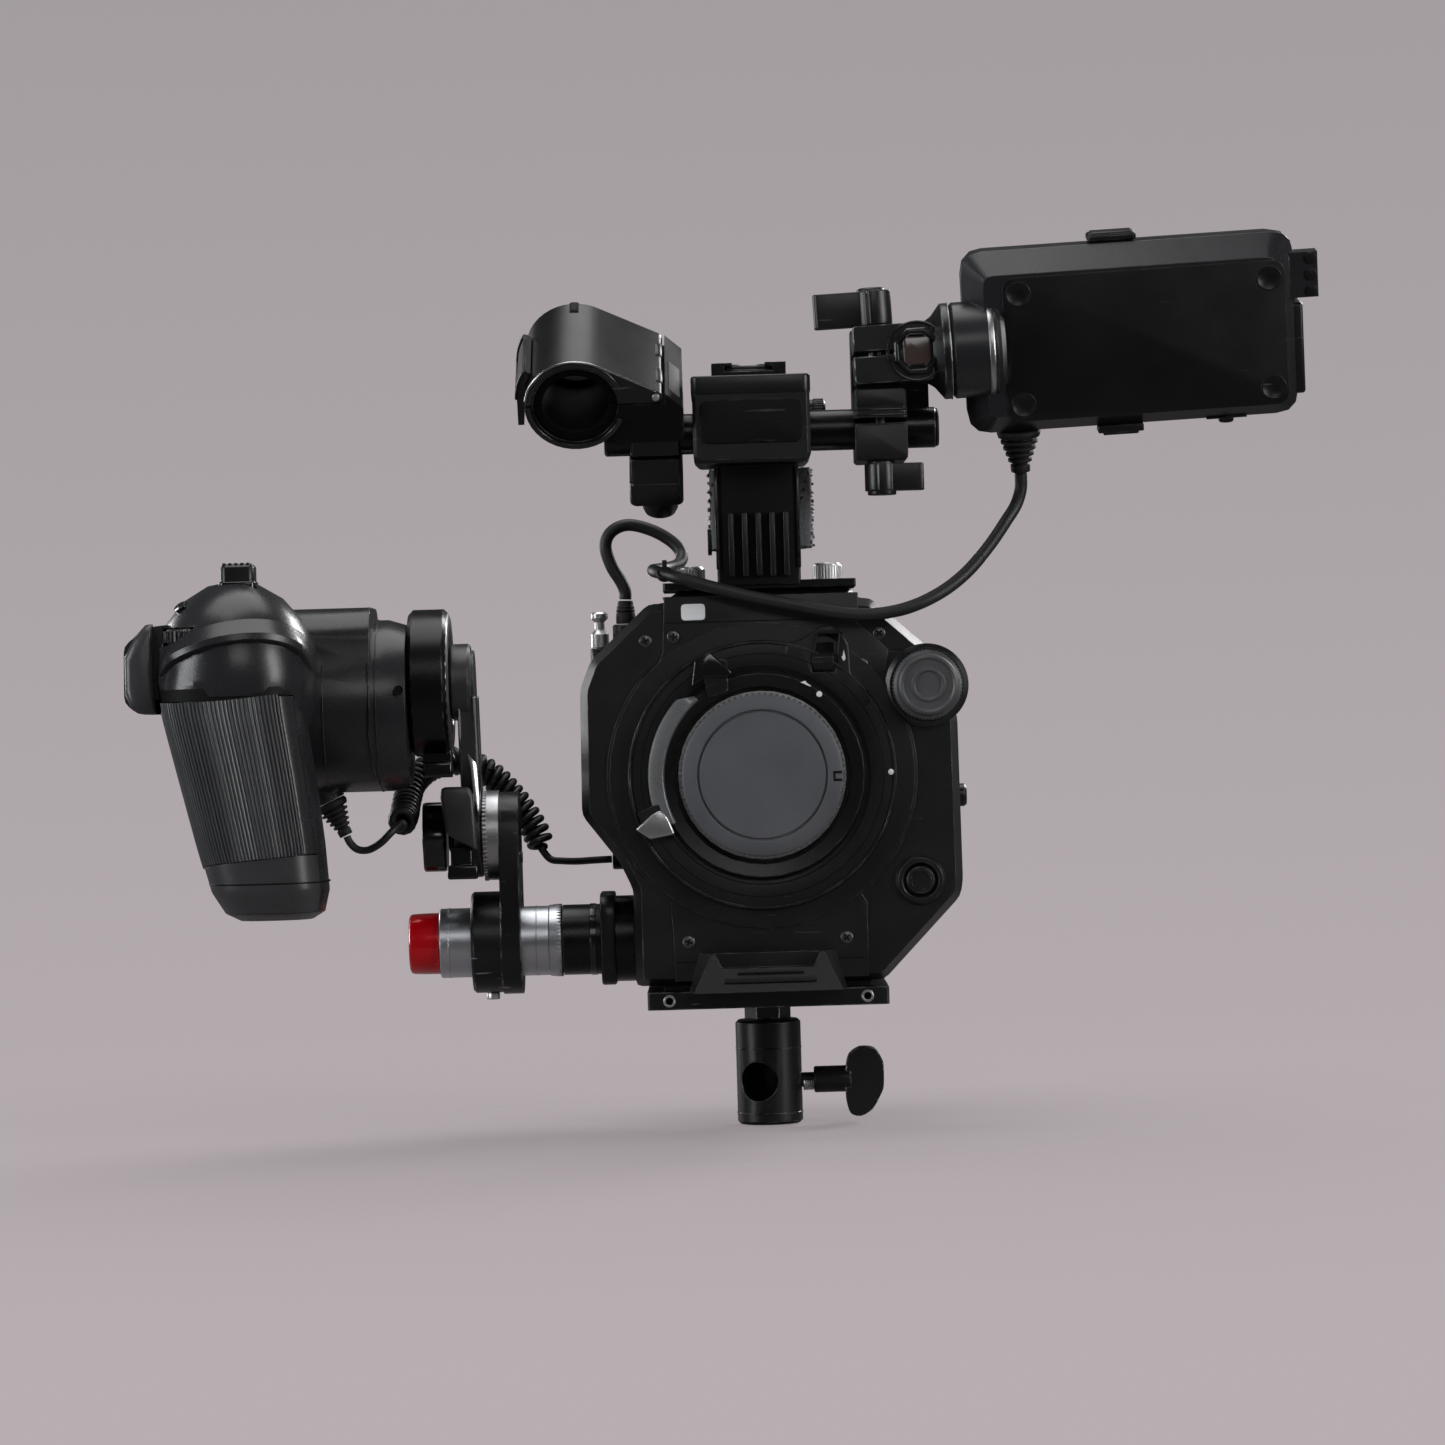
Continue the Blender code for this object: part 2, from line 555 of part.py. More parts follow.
def build_nd_knob():
    profile = [(0, -97.0), (5.4, -97.0), (6.0, -96.4), (6.4, -97.0), (ND_R - 3.2, -97.0),
        (ND_R - 2.2, -96.0), (ND_R - 1.6, -91.0), (ND_R, -90.2), (ND_R, -82.4),
        (ND_R - 1.0, FRONT_Y - 1.5), (3.0, FRONT_Y - 1.5), (3.0, -72.0), (0, -72.0)]
    shape = lathe(profile, "Y", (ND_X, ND_Z), 24)
    return put("nd_knob", shape, "satin_black", origin=(ND_X, -90, ND_Z))


def build_wb_button():
    profile = [(0, -82.0), (2.6, -81.7), (WB_R - 0.8, -82.0), (WB_R, -81.2), (WB_R, -75.6), (0, -75.6)]
    return put("wb_button", lathe(profile, "Y", (WB_X, WB_Z), 20), "satin_black", origin=(WB_X, -80, WB_Z))


def build_release_slider():
    low = SLIDER_Z - SLIDER_WINDOW / 2 + 0.4
    x = (SLIDER_X - SLIDER_WIDTH / 2, SLIDER_X + SLIDER_WIDTH / 2)
    shape = [(-80.5, low), (-80.5, low + SLIDER_HEIGHT), (-83.4, low + SLIDER_HEIGHT), (-85.8, low + 5.4),
        (-85.8, low + 3.4), (-83.4, low)]
    return put("release_slider", prism(shape, "X", *x), "satin_black", origin=(SLIDER_X, -82, low))


def build_side_controls():
    audio = [(0, 70.0), (2.6, 70.0), (2.6, 77.9), (AUDIO_R, 77.9), (AUDIO_R, 81.8), (AUDIO_R - 0.8, 82.8),
        (0, 82.8)]
    put("audio_knob", lathe(audio, "X", (AUDIO_Y, AUDIO_Z), 20), "satin_black",
        origin=(80, AUDIO_Y, AUDIO_Z))
    pin = [(0, 186.0), (1.8, 186.0), (1.8, 195.7), (3.6, 195.7), (3.6, 201.0), (2.0, 203.0), (2.0, 206.0),
        (3.4, 207.4), (3.4, 209.2), (2.6, 210.0), (0, 210.0)]
    put("pull_pin", lathe(pin, "Z", (PIN_X, PIN_Y), 16), "bright_steel", origin=(PIN_X, PIN_Y, 196))
    plug = [(0, 205.0), (3.9, 205.0), (3.9, 210.0), (3.2, 211.0), (2.9, 214.2), (0, 214.2)]
    put("monitor_plug", lathe(plug, "Z", (PLUG_X, PLUG_Y), 16), "rubber_black")


def build_handle():
    base = prism(rounded(rectangle((-37.0, 39.0), (-77.0, -34.0)), 3.0), "Z", BODY_TOP_Z + GAP, BASE_TOP_Z)
    post = put("handle_post", base, "satin_black")
    column = rounded(rectangle((POST_X - POST_HALF, POST_X + POST_HALF), (POST_FRONT_Y, POST_REAR_Y)), 3.0)
    join(post, prism(column, "Z", BASE_TOP_Z - 1.5, HEAD_Z[0] - GAP))
    for side in (-1, 1):
        hole = rod(2.4, "Z", (POST_X + side * THUMB_X, THUMB_Y), 200, 240, steps=12)
        cut(post, hole)
        knurl = [(0, 216.8), (2.0, 216.8), (2.0, BASE_TOP_Z + GAP), (THUMB_R, BASE_TOP_Z + GAP),
            (THUMB_R, 225.4), (THUMB_R - 0.9, 226.4), (0, 226.4)]
        name = "thumbscrew_left" if side < 0 else "thumbscrew_right"
        place = (POST_X + side * THUMB_X, THUMB_Y)
        put(name, lathe(knurl, "Z", place, 20), "bright_steel", origin=(*place, 220))
    head = put("handle_head", prism(rounded(rectangle(HEAD_X, HEAD_Z), 3.0), "Y", *HEAD_Y), "satin_black")
    bevel(head, 1.2)
    cut(head, rod(ROD_R + GAP, "X", (ROD_Y, ROD_Z), -60, 60, steps=28))
    low, high, rear = BAR_LOW_Z, BAR_TOP_Z, BAR_REAR_Y
    side_view = [(HEAD_Y[1] + GAP, low), (rear - 34, low), (rear - 24, low - 10),
        (rear - 24, BODY_TOP_Z + GAP), (rear, BODY_TOP_Z + GAP), (rear, high - 16), (rear - 16, high),
        (HEAD_Y[1] + GAP, high)]
    x = (POST_X - BAR_HALF, POST_X + BAR_HALF)
    bar = put("handle_bar", prism(rounded(side_view, 5.0), "X", *x), "rubber_black")
    bevel(bar, 2.5)


def build_shoe():
    low = HEAD_Z[1] + GAP
    section = [(-14.6, low), (14.6, low), (14.6, low + 5.0), (6.4, low + 5.0), (6.4, low + 3.6),
        (9.6, low + 3.6), (9.6, low + 1.6), (-9.6, low + 1.6), (-9.6, low + 3.6), (-6.4, low + 3.6),
        (-6.4, low + 5.0), (-14.6, low + 5.0)]
    shape = prism([(x - 0.9, z) for x, z in section], "Y", -88.0, -62.0)
    return put("accessory_shoe", shape, "anodised_black")


def build_strap():
    """The hook-and-loop strap round the handle post."""
    x = (POST_X - POST_HALF - 2.0, POST_X + POST_HALF + 5.0)
    outer = rounded(rectangle(x, (POST_FRONT_Y + 6, POST_REAR_Y + 4)), 2.0)
    strap = put("cable_strap", prism(outer, "Z", 232.0, 264.0), "strap_fabric")
    hole = rectangle((POST_X - POST_HALF - GAP, POST_X + POST_HALF + GAP),
        (POST_FRONT_Y - 5, POST_REAR_Y + GAP))
    cut(strap, prism(hole, "Z", 200, 280))
    return strap


def build_cross_rod():
    return put("cross_rod", rod(ROD_R, "X", (ROD_Y, ROD_Z), ROD_X[0], ROD_X[1], 0.8, 28),
        "anodised_black", origin=(0, ROD_Y, ROD_Z))


def build_mic_holder():
    """Everything here is in the pitched frame: X along the rod, Y back along the microphone."""
    frame = empty("mic_frame", (0, ROD_Y, ROD_Z), Matrix.Rotation(MIC_PITCH, 4, "X"))
    centre = (MIC_X, MIC_UP)
    seam = math.degrees(math.asin(0.3 / MIC_BORE_R))
    lower = arc(centre, MIC_R, 180 + seam, 310, 14) + [(-49.0, 9.4), (-27.0, 9.4), (-27.0, 25.0),
        (-33.6, 31.4), (-33.6, 26.7)]
    lower += arc(centre, MIC_BORE_R, 360 - seam, 180 + seam, 18)
    put("mic_cradle", prism(lower, "Y", MIC_FRONT, MIC_BACK), "satin_black", parent=frame)
    roof = arc(centre, MIC_R, 59, 180 - seam, 14)
    upper = list(reversed(arc(centre, MIC_BORE_R, seam, 180 - seam, 18)))
    end = arc(LID_PIVOT, 2.7, -90, 59, 5)
    lid = put("mic_lid", prism(end + roof + upper, "Y", MIC_FRONT, MIC_BACK), "satin_black",
        origin=(LID_PIVOT[0], 0, LID_PIVOT[1]), parent=frame)
    hook = arc(centre, MIC_R + 3.0, 147, 180, 5) + [(MIC_X - MIC_R - 3.0, 15.0),
        (MIC_X - MIC_R - 0.6, 15.0)]
    hook += arc(centre, MIC_R + 0.4, 180, 147, 5)
    latch = put("mic_latch", prism(hook, "Y", -14.0, 14.0), "satin_black",
        origin=(LATCH_PIVOT[0], 0, LATCH_PIVOT[1]), parent=frame)
    block = rounded([(-48.0, -24.4), (-28.4, -24.4), (-28.4, 9.0), (-48.0, 9.0)], 2.0)
    clamp = put("mic_clamp", prism(block, "Y", -13.0, 13.0), "satin_black", parent=frame)
    bevel(clamp, 0.8)
    cut(clamp, rod(ROD_R + GAP, "X", (0, 0), -60, 0, steps=28))
    cut(clamp, box((-60, 0), (-20, 0), (-3.4, -1.6)), rod(2.6, "Z", (MIC_KNOB_X, 0), -40, -12, steps=12))
    knob = [(0, -14.0), (2.2, -14.0), (2.2, -24.7), (7.0, -24.7), (7.2, -25.7), (6.6, -34.6),
        (5.6, -35.6), (0, -35.6)]
    put("mic_clamp_knob", lathe(knob, "Z", (MIC_KNOB_X, 0), 20), "satin_black",
        origin=(MIC_KNOB_X, 0, -30), parent=frame)
    return lid, latch


def wing(name, screw, reach, z, frame):
    """A wing knob on a vertical screw, with one long wing and one short one."""
    x, y = screw
    turned = math.copysign(1.0, reach)
    outline = [(6.4, -6.4), (6.4, 6.4), (-6.0, 5.4), (-abs(reach), 4.4), (-abs(reach), -1.6), (-8.0, -6.0)]
    outline = [(x - turned * a, y + b) for a, b in outline]
    knob = put(name, prism(rounded(outline, 2.4), "Z", z[1], z[2]), "grip_plastic", origin=(x, y, z[1]),
        parent=frame)
    bevel(knob, 0.8)
    inside = z[1] + 1.0 if z[0] > z[1] else z[2] - 1.0
    join(knob, rod(2.4, "Z", (x, y), min(z[0], inside), max(z[0], inside), 0, 12))
    return knob


def build_monitor_arm():
    x = CLAMP_X
    low = put("rod_clamp", box(x, (-90.0, -54.0), (264.6, 293.0)), "satin_black", origin=(50, ROD_Y, ROD_Z))
    bevel(low, 1.0)
    join(low, box((x[0], 70.4), (-59.0, -45.0), (282.0, 317.6)))
    cut(low, rod(ROD_R + GAP, "X", (ROD_Y, ROD_Z), 20, 90, steps=28))
    cut(low, box((20, 90), (-100, ROD_Y), (279.0, 281.2)))
    cut(low, rod(2.8, "Z", CLAMP_SCREW, 250, 291.0, steps=12))
    frame = empty("arm_frame", (BAR_X, HINGE_Y, BAR_Z), Matrix.Rotation(ARM_ROLL, 4, "Y"))
    side = BAR_SIDE / 2
    pocket = box((-side - GAP, side + GAP), (-20, 60), (-side - GAP, side + GAP))
    bmesh.ops.transform(pocket,
        matrix=Matrix.Translation((BAR_X, HINGE_Y, BAR_Z)) @ Matrix.Rotation(ARM_ROLL, 4, "Y"),
        verts=pocket.verts)
    cut(low, pocket)
    bar = put("square_bar", box((-side, side), (-13.4, 40.5), (-side, side)), "bare_aluminium",
        parent=frame)
    bevel(bar, 1.4)
    jaws = rounded(rectangle((BAR_KNOB_X - BAR_X - 8.6, 6.0), (-11.4, 11.2)), 1.6)
    arm = put("tilt_arm", prism(jaws, "Y", -12.0, 11.8), "satin_black", parent=frame)
    cone = lathe([(0, -6.0), (11.6, -6.0), (11.6, 3.0), (14.0, 6.6), (DRUM_R, 10.4), (DRUM_R, 13.0),
        (0, 13.0)], "X", (0, 0), 32)
    join(arm, cone)
    cut(arm, box((-side - GAP, side + GAP), (-30, 30), (-side - GAP, side + GAP)))
    cut(arm, box((-40, 0), (-30, 30), (-0.9, 1.3)))
    screw_x = BAR_KNOB_X - BAR_X
    cut(arm, rod(2.8, "Z", (screw_x, 0), -9.0, 30, steps=12))
    wing("bar_knob", (screw_x, 0), -24.0, (-8.0, 11.6, 25.6), frame)
    wing("rod_knob", CLAMP_SCREW, 17.2, (284.0, 252.4, 264.2), None)
    return frame


def build_monitor(frame):
    """The monitor in its hinge frame: X along the hinge, back shell towards -Y."""
    turn = Matrix.Rotation(MONITOR_PITCH, 4, "X")
    pitched = empty("monitor_frame", (0, 0, 0), turn, frame)
    left, right, low, high = MONITOR_LEFT, MONITOR_RIGHT, MONITOR_LOW, MONITOR_HIGH
    rim = rounded(rectangle((left, right), (low, high)), 9.0, 3)
    inner = rounded(rectangle((left + 8, right - 8), (low + 8, high - 8)), 4.0, 3)
    sections = [(inner, MONITOR_BACK), (rim, MONITOR_RIM), (rim, MONITOR_SPLIT)]
    shell = loft([[(x, y, z) for x, z in points] for points, y in sections])
    back = put("monitor_back", shell, "grip_plastic", parent=pitched)
    join(back, rod(DRUM_R, "X", (0, 0), 13.0 + GAP, 33.0, 1.6, 32))
    hollow = rectangle((left + 5, right - 5), (low + 5, high - 5))
    join(back, box((right - 2.0, 158.6), (0.0, 7.0), (11.5, 29.5)))
    cut(back, box((left - 0.6, left + 40), (MONITOR_SPLIT, 40), (-25, 25)))
    cut(back, prism(hollow, "Y", MONITOR_SPLIT - 2.0, MONITOR_SPLIT + 10))
    face = rounded(rectangle((left + 1.2, right - 1.2), (low + 1.2, high - 1.2)), 8.4, 3)
    bezel = put("monitor_bezel", prism(rim, "Y", MONITOR_FRONT, MONITOR_SPLIT + GAP, face),
        "grip_plastic", parent=pitched)
    screen = rectangle((left + 12, right - 9), (low + 8, high - 8))
    cut(bezel, prism(screen, "Y", MONITOR_FRONT - 1.4, 30.0))
    x = (69.6, 88.6)
    latch = put("hood_latch", box(x, (3.4, 13.0), (high + GAP, high + 3.4)), "satin_black",
        origin=(79, 8, high), parent=pitched)
    bevel(latch, 0.8)
    gland = [(0, low - GAP), (8.8, low - GAP), (8.8, low - 3.0), (5.9, low - 7.6), (5.9, low - 9.0),
        (4.6, low - 17.6), (0, low - 17.6)]
    put("monitor_gland", lathe(gland, "Z", (39.2, 8.0), 20), "rubber_black", parent=pitched)


def build_side_arm():
    centre = (TUBE_Y, TUBE_Z)
    flange = put("side_flange", rod(17.2, "X", centre, -65.4, -52.0 - GAP + 0.8, 1.2, 32), "anodised_black")
    cut(flange, rod(9.4, "X", centre, -80, -57.0, steps=24))
    barrel = [(0, -65.4 - GAP), (14.1, -65.4 - GAP), (14.1, -81.2), (10.0, -81.2), (10.0, -84.0),
        (0, -84.0)]
    neck = rod(9.0, "X", centre, -66.0, -57.4, 0, 24)
    side_barrel = put("side_barrel", lathe(list(reversed(barrel)), "X", centre, 32), "anodised_black")
    join(side_barrel, neck)
    tube_body = pipe(TUBE_R, 10.4, "X", centre, -130.5, -81.5, 0.4)
    put("side_tube", tube_body, "bare_aluminium", origin=(-106, *centre))
    cap = [(0, -142.7), (11.2, -142.7), (12.2, -141.7), (12.2, -130.8), (9.6, -130.8), (9.6, -122.0),
        (0, -122.0)]
    put("tube_cap", lathe(cap, "X", centre, 28), "red_anodised", origin=(-136, *centre))
    outline = stadium(centre, 21.0, (TUBE_Y, SWING_Z), SWING_R)
    link = put("link_plate", prism(outline, "X", -105.6, -97.6), "anodised_black", origin=(-102, *centre))
    join(link, rod(20.3, "X", centre, -117.6, -104.6, 1.0, 32))
    rosette = lathe([(0, -111.6), (14.4, -111.6), (SWING_R, -110.6), (SWING_R, -104.6), (0, -104.6)], "X",
        (TUBE_Y, SWING_Z), 32)
    join(link, rosette)
    cut(link, rod(TUBE_R + GAP, "X", centre, -140, -80, steps=32))
    cut(link, rod(5.3, "X", (TUBE_Y, SWING_Z), -130, -100.0, steps=16))
    return link


def build_swing_arm():
    """The leaning arm between the lower rosette and the grip's disc."""
    pivot = (TUBE_Y, SWING_Z)
    lower = rod(16.6, "X", pivot, -123.4, -111.9, 1.0, 32)
    arm = put("swing_arm", lower, "bare_aluminium", origin=(-117, *pivot))
    bar = prism(stadium(pivot, 13.0, (DISC_Y, DISC_Z), 12.5, 8), "X", -119.0, -112.9)
    join(arm, bar)
    join(arm, rod(15.2, "X", (DISC_Y, DISC_Z), -122.4, -114.2, 1.0, 28))
    cut(arm, rod(5.3, "X", pivot, -130, -100, steps=16))
    knob = [(0, -136.0), (13.4, -136.0), (14.8, -134.6), (14.8, -126.8), (13.6, -123.7), (5.0, -123.7),
        (5.0, -101.6), (0, -101.6)]
    put("arm_knob", lathe(knob, "X", pivot, 28), "satin_black", origin=(-130, *pivot))
    disc = [(0, -138.3), (27.4, -138.3), (DISC_R, -136.6), (DISC_R, -124.4), (27.6, -122.8), (0, -122.8)]
    mount = put("grip_disc", lathe(disc, "X", (DISC_Y, DISC_Z), 36), "satin_black",
        origin=(-130, DISC_Y, DISC_Z))
    join(mount, box((-134.0, -122.9), (-62.0, -50.0), (145.4, 158.0)))
    return arm


def superellipse(centre, half, z, power=2.6, steps=20, start=0.0, end=360.0, inset=0.0):
    """Points of a rounded-square section at height z, from start to end in degrees."""
    points = []
    whole = end - start >= 360
    for i in range(steps if whole else steps + 1):
        t = math.radians(start + (end - start) * i / steps)
        c, s = math.cos(t), math.sin(t)
        x = (half[0] - inset) * math.copysign(abs(c) ** (2 / power), c)
        y = (half[1] - inset) * math.copysign(abs(s) ** (2 / power), s)
        points.append((centre[0] + x, centre[1] + y, z))
    return points


def rubber_shape(outer, inner, spread, reach):
    """The ribbed pad as a curved plate that follows the front of the grip."""
    sections = []
    lowest, highest = 110.0 - reach, 179.0 + reach
    for k in range(6):
        z = lowest + (highest - lowest) * k / 5
        centre, half = grip_section(z)
        start, end = RUBBER_RANGE[0] - spread, RUBBER_RANGE[1] + spread
        near = superellipse(centre, half, z, start=start, end=end, steps=11, inset=-outer)
        far = superellipse(centre, half, z, start=start, end=end, steps=11, inset=inner)
        sections.append(near + list(reversed(far)))
    return loft(sections)


def grip_section(z):
    """The grip's section at a height, between the listed ones."""
    for (c0, h0, z0), (c1, h1, z1) in zip(GRIP_SECTIONS, GRIP_SECTIONS[1:]):
        if z0 <= z <= z1:
            t = (z - z0) / (z1 - z0)
            mixed = [tuple(a + (b - a) * t for a, b in zip(p, q)) for p, q in ((c0, c1), (h0, h1))]
            return mixed[0], mixed[1]
    return GRIP_SECTIONS[-1][:2]


def dome(centre, radii, steps=22, rows=10):
    profile = [math.pi * i / rows - math.pi / 2 for i in range(rows + 1)]
    bm = lathe([(max(0.0, round(math.cos(a), 6)), math.sin(a)) for a in profile], "Z", (0, 0), steps)
    bmesh.ops.transform(bm, matrix=Matrix.Translation(centre) @ Matrix.Diagonal((*radii, 1.0)),
        verts=bm.verts)
    return bm


def build_grip():
    hinge = (-150.0, GRIP_Y, GRIP_Z)
    handle = loft([superellipse(c, h, z) for c, h, z in GRIP_SECTIONS])
    body = put("grip_body", handle, "grip_plastic", origin=hinge)
    join(body, dome((-203.4, -98.0, 186.0), (32.6, 34.0, 38.4)))
    housing = [(0, -182.0), (32.0, -182.0), (33.9, -176.0), (33.9, -146.0), (31.6, -138.6), (0, -138.6)]
    join(body, lathe(housing, "X", (GRIP_Y, GRIP_Z), 36))
    top = rounded([(-90.0, 178.0), (-32.0, 178.0), (-32.0, 206.0), (-42.0, 213.2), (-80.0, 213.2),
        (-90.0, 204.0)], 4.0)
    join(body, prism(top, "X", -186.0, -152.0))
    flap = rounded([(-245.4, 178.0), (-240.0, 173.4), (-228.0, 173.4), (-226.0, 208.0), (-236.0, 207.0),
        (-245.0, 200.0)], 2.5)
    join(body, prism(flap, "Y", -112.0, -84.0))
    cut(body, rubber_shape(6.0, 2.4, 1.0, 0.4))
    cut(body, box((-209.2, -193.4), (-106.6, -89.4), (216.2, 240.0)))
    cut(body, rod(10.2, "Z", (-219.6, -113.2), 199.6, 206.4, steps=24))
    put("grip_rubber", rubber_shape(0.2, 2.0, 0.0, 0.0), "rubber_black", origin=hinge)
    rocker = rounded(rectangle((-207.8, -194.8), (-105.0, -91.0)), 2.0)
    rocker_body = put("grip_rocker", prism(rocker, "Z", 218.2, 230.6), "satin_black",
        origin=(-201.3, -98, 219.0))
    bevel(rocker_body, 1.0)
    put("thumb_dial", rod(9.7, "Z", (-219.6, -113.2), 200.2, 205.8, 0.6, 24), "satin_black",
        origin=(-219.6, -113.2, 203))
    boot = [(0, 0.3), (6.2, 0.3), (6.2, 3.0), (4.6, 4.6), (4.2, 8.0), (3.0, 15.0), (0, 15.0)]
    lean = Matrix.Rotation(math.radians(155.0), 4, "Y")
    frame = empty("boot_frame", BOOT_TOP, lean)
    pad = rod(6.6, "Z", (0, 0), -8.0, 0, 0, 16)
    bmesh.ops.transform(pad, matrix=Matrix.Translation(BOOT_TOP) @ lean, verts=pad.verts)
    join(body, pad)
    put("grip_boot", lathe(boot, "Z", (0, 0), 16), "rubber_black", parent=frame)


def build_cables():
    tube("monitor_cable", MONITOR_CABLE_ROUTE, MONITOR_CABLE_R, "rubber_black", 8.0, 2)
    tube("grip_lead", LEAD_ROUTE, REMOTE_LEAD_R, "rubber_black", 4.0, 2)
    tube("grip_coil", COIL_ROUTE, COIL_R, "rubber_black", 8.0, 2)
    tube("grip_tail", TAIL_ROUTE, REMOTE_LEAD_R, "rubber_black", 4.0, 2)


def main():
    clear_scene()
    build_receiver()
    build_t_screw()
    build_plate()
    build_foot()
    build_front_plate()
    build_tally_lamp()
    build_shell()
    build_rear_cover()
    build_battery()
    build_mount()
    build_lock_lever()
    build_body_cap()
    build_sensor_unit()
    build_nd_wheel()
    build_nd_knob()
    build_wb_button()
    build_release_slider()
    build_side_controls()
    build_handle()
    build_shoe()
    build_strap()
    build_cross_rod()
    build_mic_holder()
    build_monitor(build_monitor_arm())
    build_side_arm()
    build_swing_arm()
    build_grip()
    build_cables()


main()
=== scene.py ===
"""Finishes for the cinema camera rig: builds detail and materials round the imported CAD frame."""

import bisect
import math
from functools import cached_property

import bmesh
import bpy
from mathutils import Matrix, Vector, noise


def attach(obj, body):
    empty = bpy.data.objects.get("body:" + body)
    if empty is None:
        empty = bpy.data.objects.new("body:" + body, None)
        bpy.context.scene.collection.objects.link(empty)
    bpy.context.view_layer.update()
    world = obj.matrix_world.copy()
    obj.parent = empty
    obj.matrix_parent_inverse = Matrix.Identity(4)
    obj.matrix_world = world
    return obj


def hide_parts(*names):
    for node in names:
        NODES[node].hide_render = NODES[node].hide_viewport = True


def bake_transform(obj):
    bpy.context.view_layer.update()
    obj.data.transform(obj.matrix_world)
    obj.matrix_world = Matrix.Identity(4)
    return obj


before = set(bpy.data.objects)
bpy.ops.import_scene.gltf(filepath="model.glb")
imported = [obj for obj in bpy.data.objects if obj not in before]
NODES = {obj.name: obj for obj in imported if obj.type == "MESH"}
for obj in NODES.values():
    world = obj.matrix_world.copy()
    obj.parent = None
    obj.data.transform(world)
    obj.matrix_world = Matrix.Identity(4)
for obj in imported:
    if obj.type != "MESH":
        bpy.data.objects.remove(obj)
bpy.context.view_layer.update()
MM = 0.001
LENS = (0.0, 143.0)
SMOOTH_ANGLE = math.radians(34)
BEVEL_ANGLE = math.radians(35)
WELD_DISTANCE = 2e-6
BACKDROP_LOW = (0.475, 0.425, 0.440, 1)
BACKDROP_HIGH = (0.365, 0.335, 0.350, 1)
BACKDROP_RISE = (-0.13, 0.16)
AMBIENT = (0.97, 0.985, 1.0, 1)
AMBIENT_STRENGTH = 0.05
FLOOR_COLOUR = (0.46, 0.415, 0.425, 1)
FLOOR_RADIUS = 2.6
FLOOR_DROP = 0.0006
FLOOR_FADE = (0.08, 0.62)
FLOOR_FADED_FROM = 0.55

# The camera, in metres and millimetres of lens
FOCAL_LENGTH = 120.7
SENSOR_WIDTH = 36.0
CAMERA_PLACE = (-0.015, -1.98, 0.164)
CAMERA_TURN = (math.radians(90), math.radians(1.65), 0)

# Frames of the tilted parts, the same as in the CAD, in millimetres
MIC_FRAME = Matrix.Translation((0, -70, 278)) @ Matrix.Rotation(math.radians(35), 4, "X")
ARM_FRAME = Matrix.Translation((64.8, -82.5, 306.4)) @ Matrix.Rotation(math.radians(-2.3), 4, "Y")
MONITOR_FRAME = ARM_FRAME @ Matrix.Rotation(math.radians(15), 4, "X")
BOOT_FRAME = Matrix.Translation((-171.6, -60, 137.2)) @ Matrix.Rotation(math.radians(155), 4, "Y")
BODY_FRAMES = {
    "mic_mount": MIC_FRAME, "mic_lid": MIC_FRAME, "mic_latch": MIC_FRAME, "mic_clamp_knob": MIC_FRAME,
    "tilt_arm": ARM_FRAME, "bar_knob": ARM_FRAME, "monitor": MONITOR_FRAME,
}

# Centres of round parts, in millimetres: (x, z) along Y, or (y, z) along X
FILTER_KNOB = (65.5, 176.4)
ROUND_BUTTON = (60.9, 100.0)
MIC_CENTRE = (-68.5, 27.0)
MIC_HINGE = (-37.2, 30.0)
TUBE = (-35.0, 78.6)
ROSETTE = (-35.0, 121.4)
DISC = (-55.0, 183.0)
TUBE_TEETH = 56
GRIP_HOUSING = (-60.0, 174.5)

# Cables, in millimetres, with the routes of the CAD solids
MONITOR_CABLE_D = 5.0
MONITOR_STRETCH = 42
LEAD_D = 3.0
COIL_R = 4.5
COIL_PITCH = 3.55
COIL_RAMP = 3.0
MONITOR_CABLE_ROUTE = [
    (105.95, -61.2, 259.4),
    (105.8, -59.7, 253),
    (103.6, -59.8, 246.6),
    (99.4, -62.4, 240.4),
    (94.8, -66.6, 234),
    (89.6, -71, 227.6),
    (83.4, -75.4, 221),
    (76.8, -79.4, 215.6),
    (70, -83, 211.4),
    (62.4, -85.6, 208),
    (54.2, -86.8, 205.7),
    (43.4, -87.2, 204.6),
    (30.4, -87.2, 205.8),
    (13.1, -86.8, 209.4),
    (-4.1, -86.4, 213.3),
    (-21.4, -85.4, 218.2),
    (-31.5, -83.4, 221.4),
    (-38.4, -77, 223.6),
    (-40.6, -67, 224.8),
    (-39.6, -55, 225.4),
    (-36.2, -43, 226.2),
    (-31, -34, 228),
    (-29.4, -28.6, 232),
    (-33, -26.2, 237.2),
    (-41, -25, 242.2),
    (-50.6, -24.4, 244.8),
    (-57.4, -24.6, 242.4),
    (-60.2, -24.8, 236.6),
    (-58, -25, 228.4),
    (-54.2, -25, 221.8),
    (-52.8, -25, 218),
    (-52.8, -25, 214.8),
]
COIL_ROUTE = [
    (-144, -57, 127.5), (-143, -46, 130.4), (-142.6, -33, 136.4), (-140.6, -21, 143.6), (-133.6, -12, 149.6),
    (-123, -6.4, 151.4), (-111, -4.2, 146), (-100.6, -4, 135), (-93, -5, 123), (-90.4, -6, 114.5),
]
LEAD_ROUTE = [
    (-165.1, -60, 123.2),
    (-163.9, -60, 120.6),
    (-161, -60.4, 117.9),
    (-156.6, -61.6, 117.6),
    (-151.6, -63, 120.2),
    (-147.4, -62.6, 124.2),
]
TAIL_ROUTE = [
    (-86.6, -7.4, 110.4), (-81.6, -9.4, 109.6), (-75.6, -12.6, 109.4), (-69.4, -15.8, 109.7),
    (-64.6, -17.6, 109.9), (-61.4, -18, 110),
]


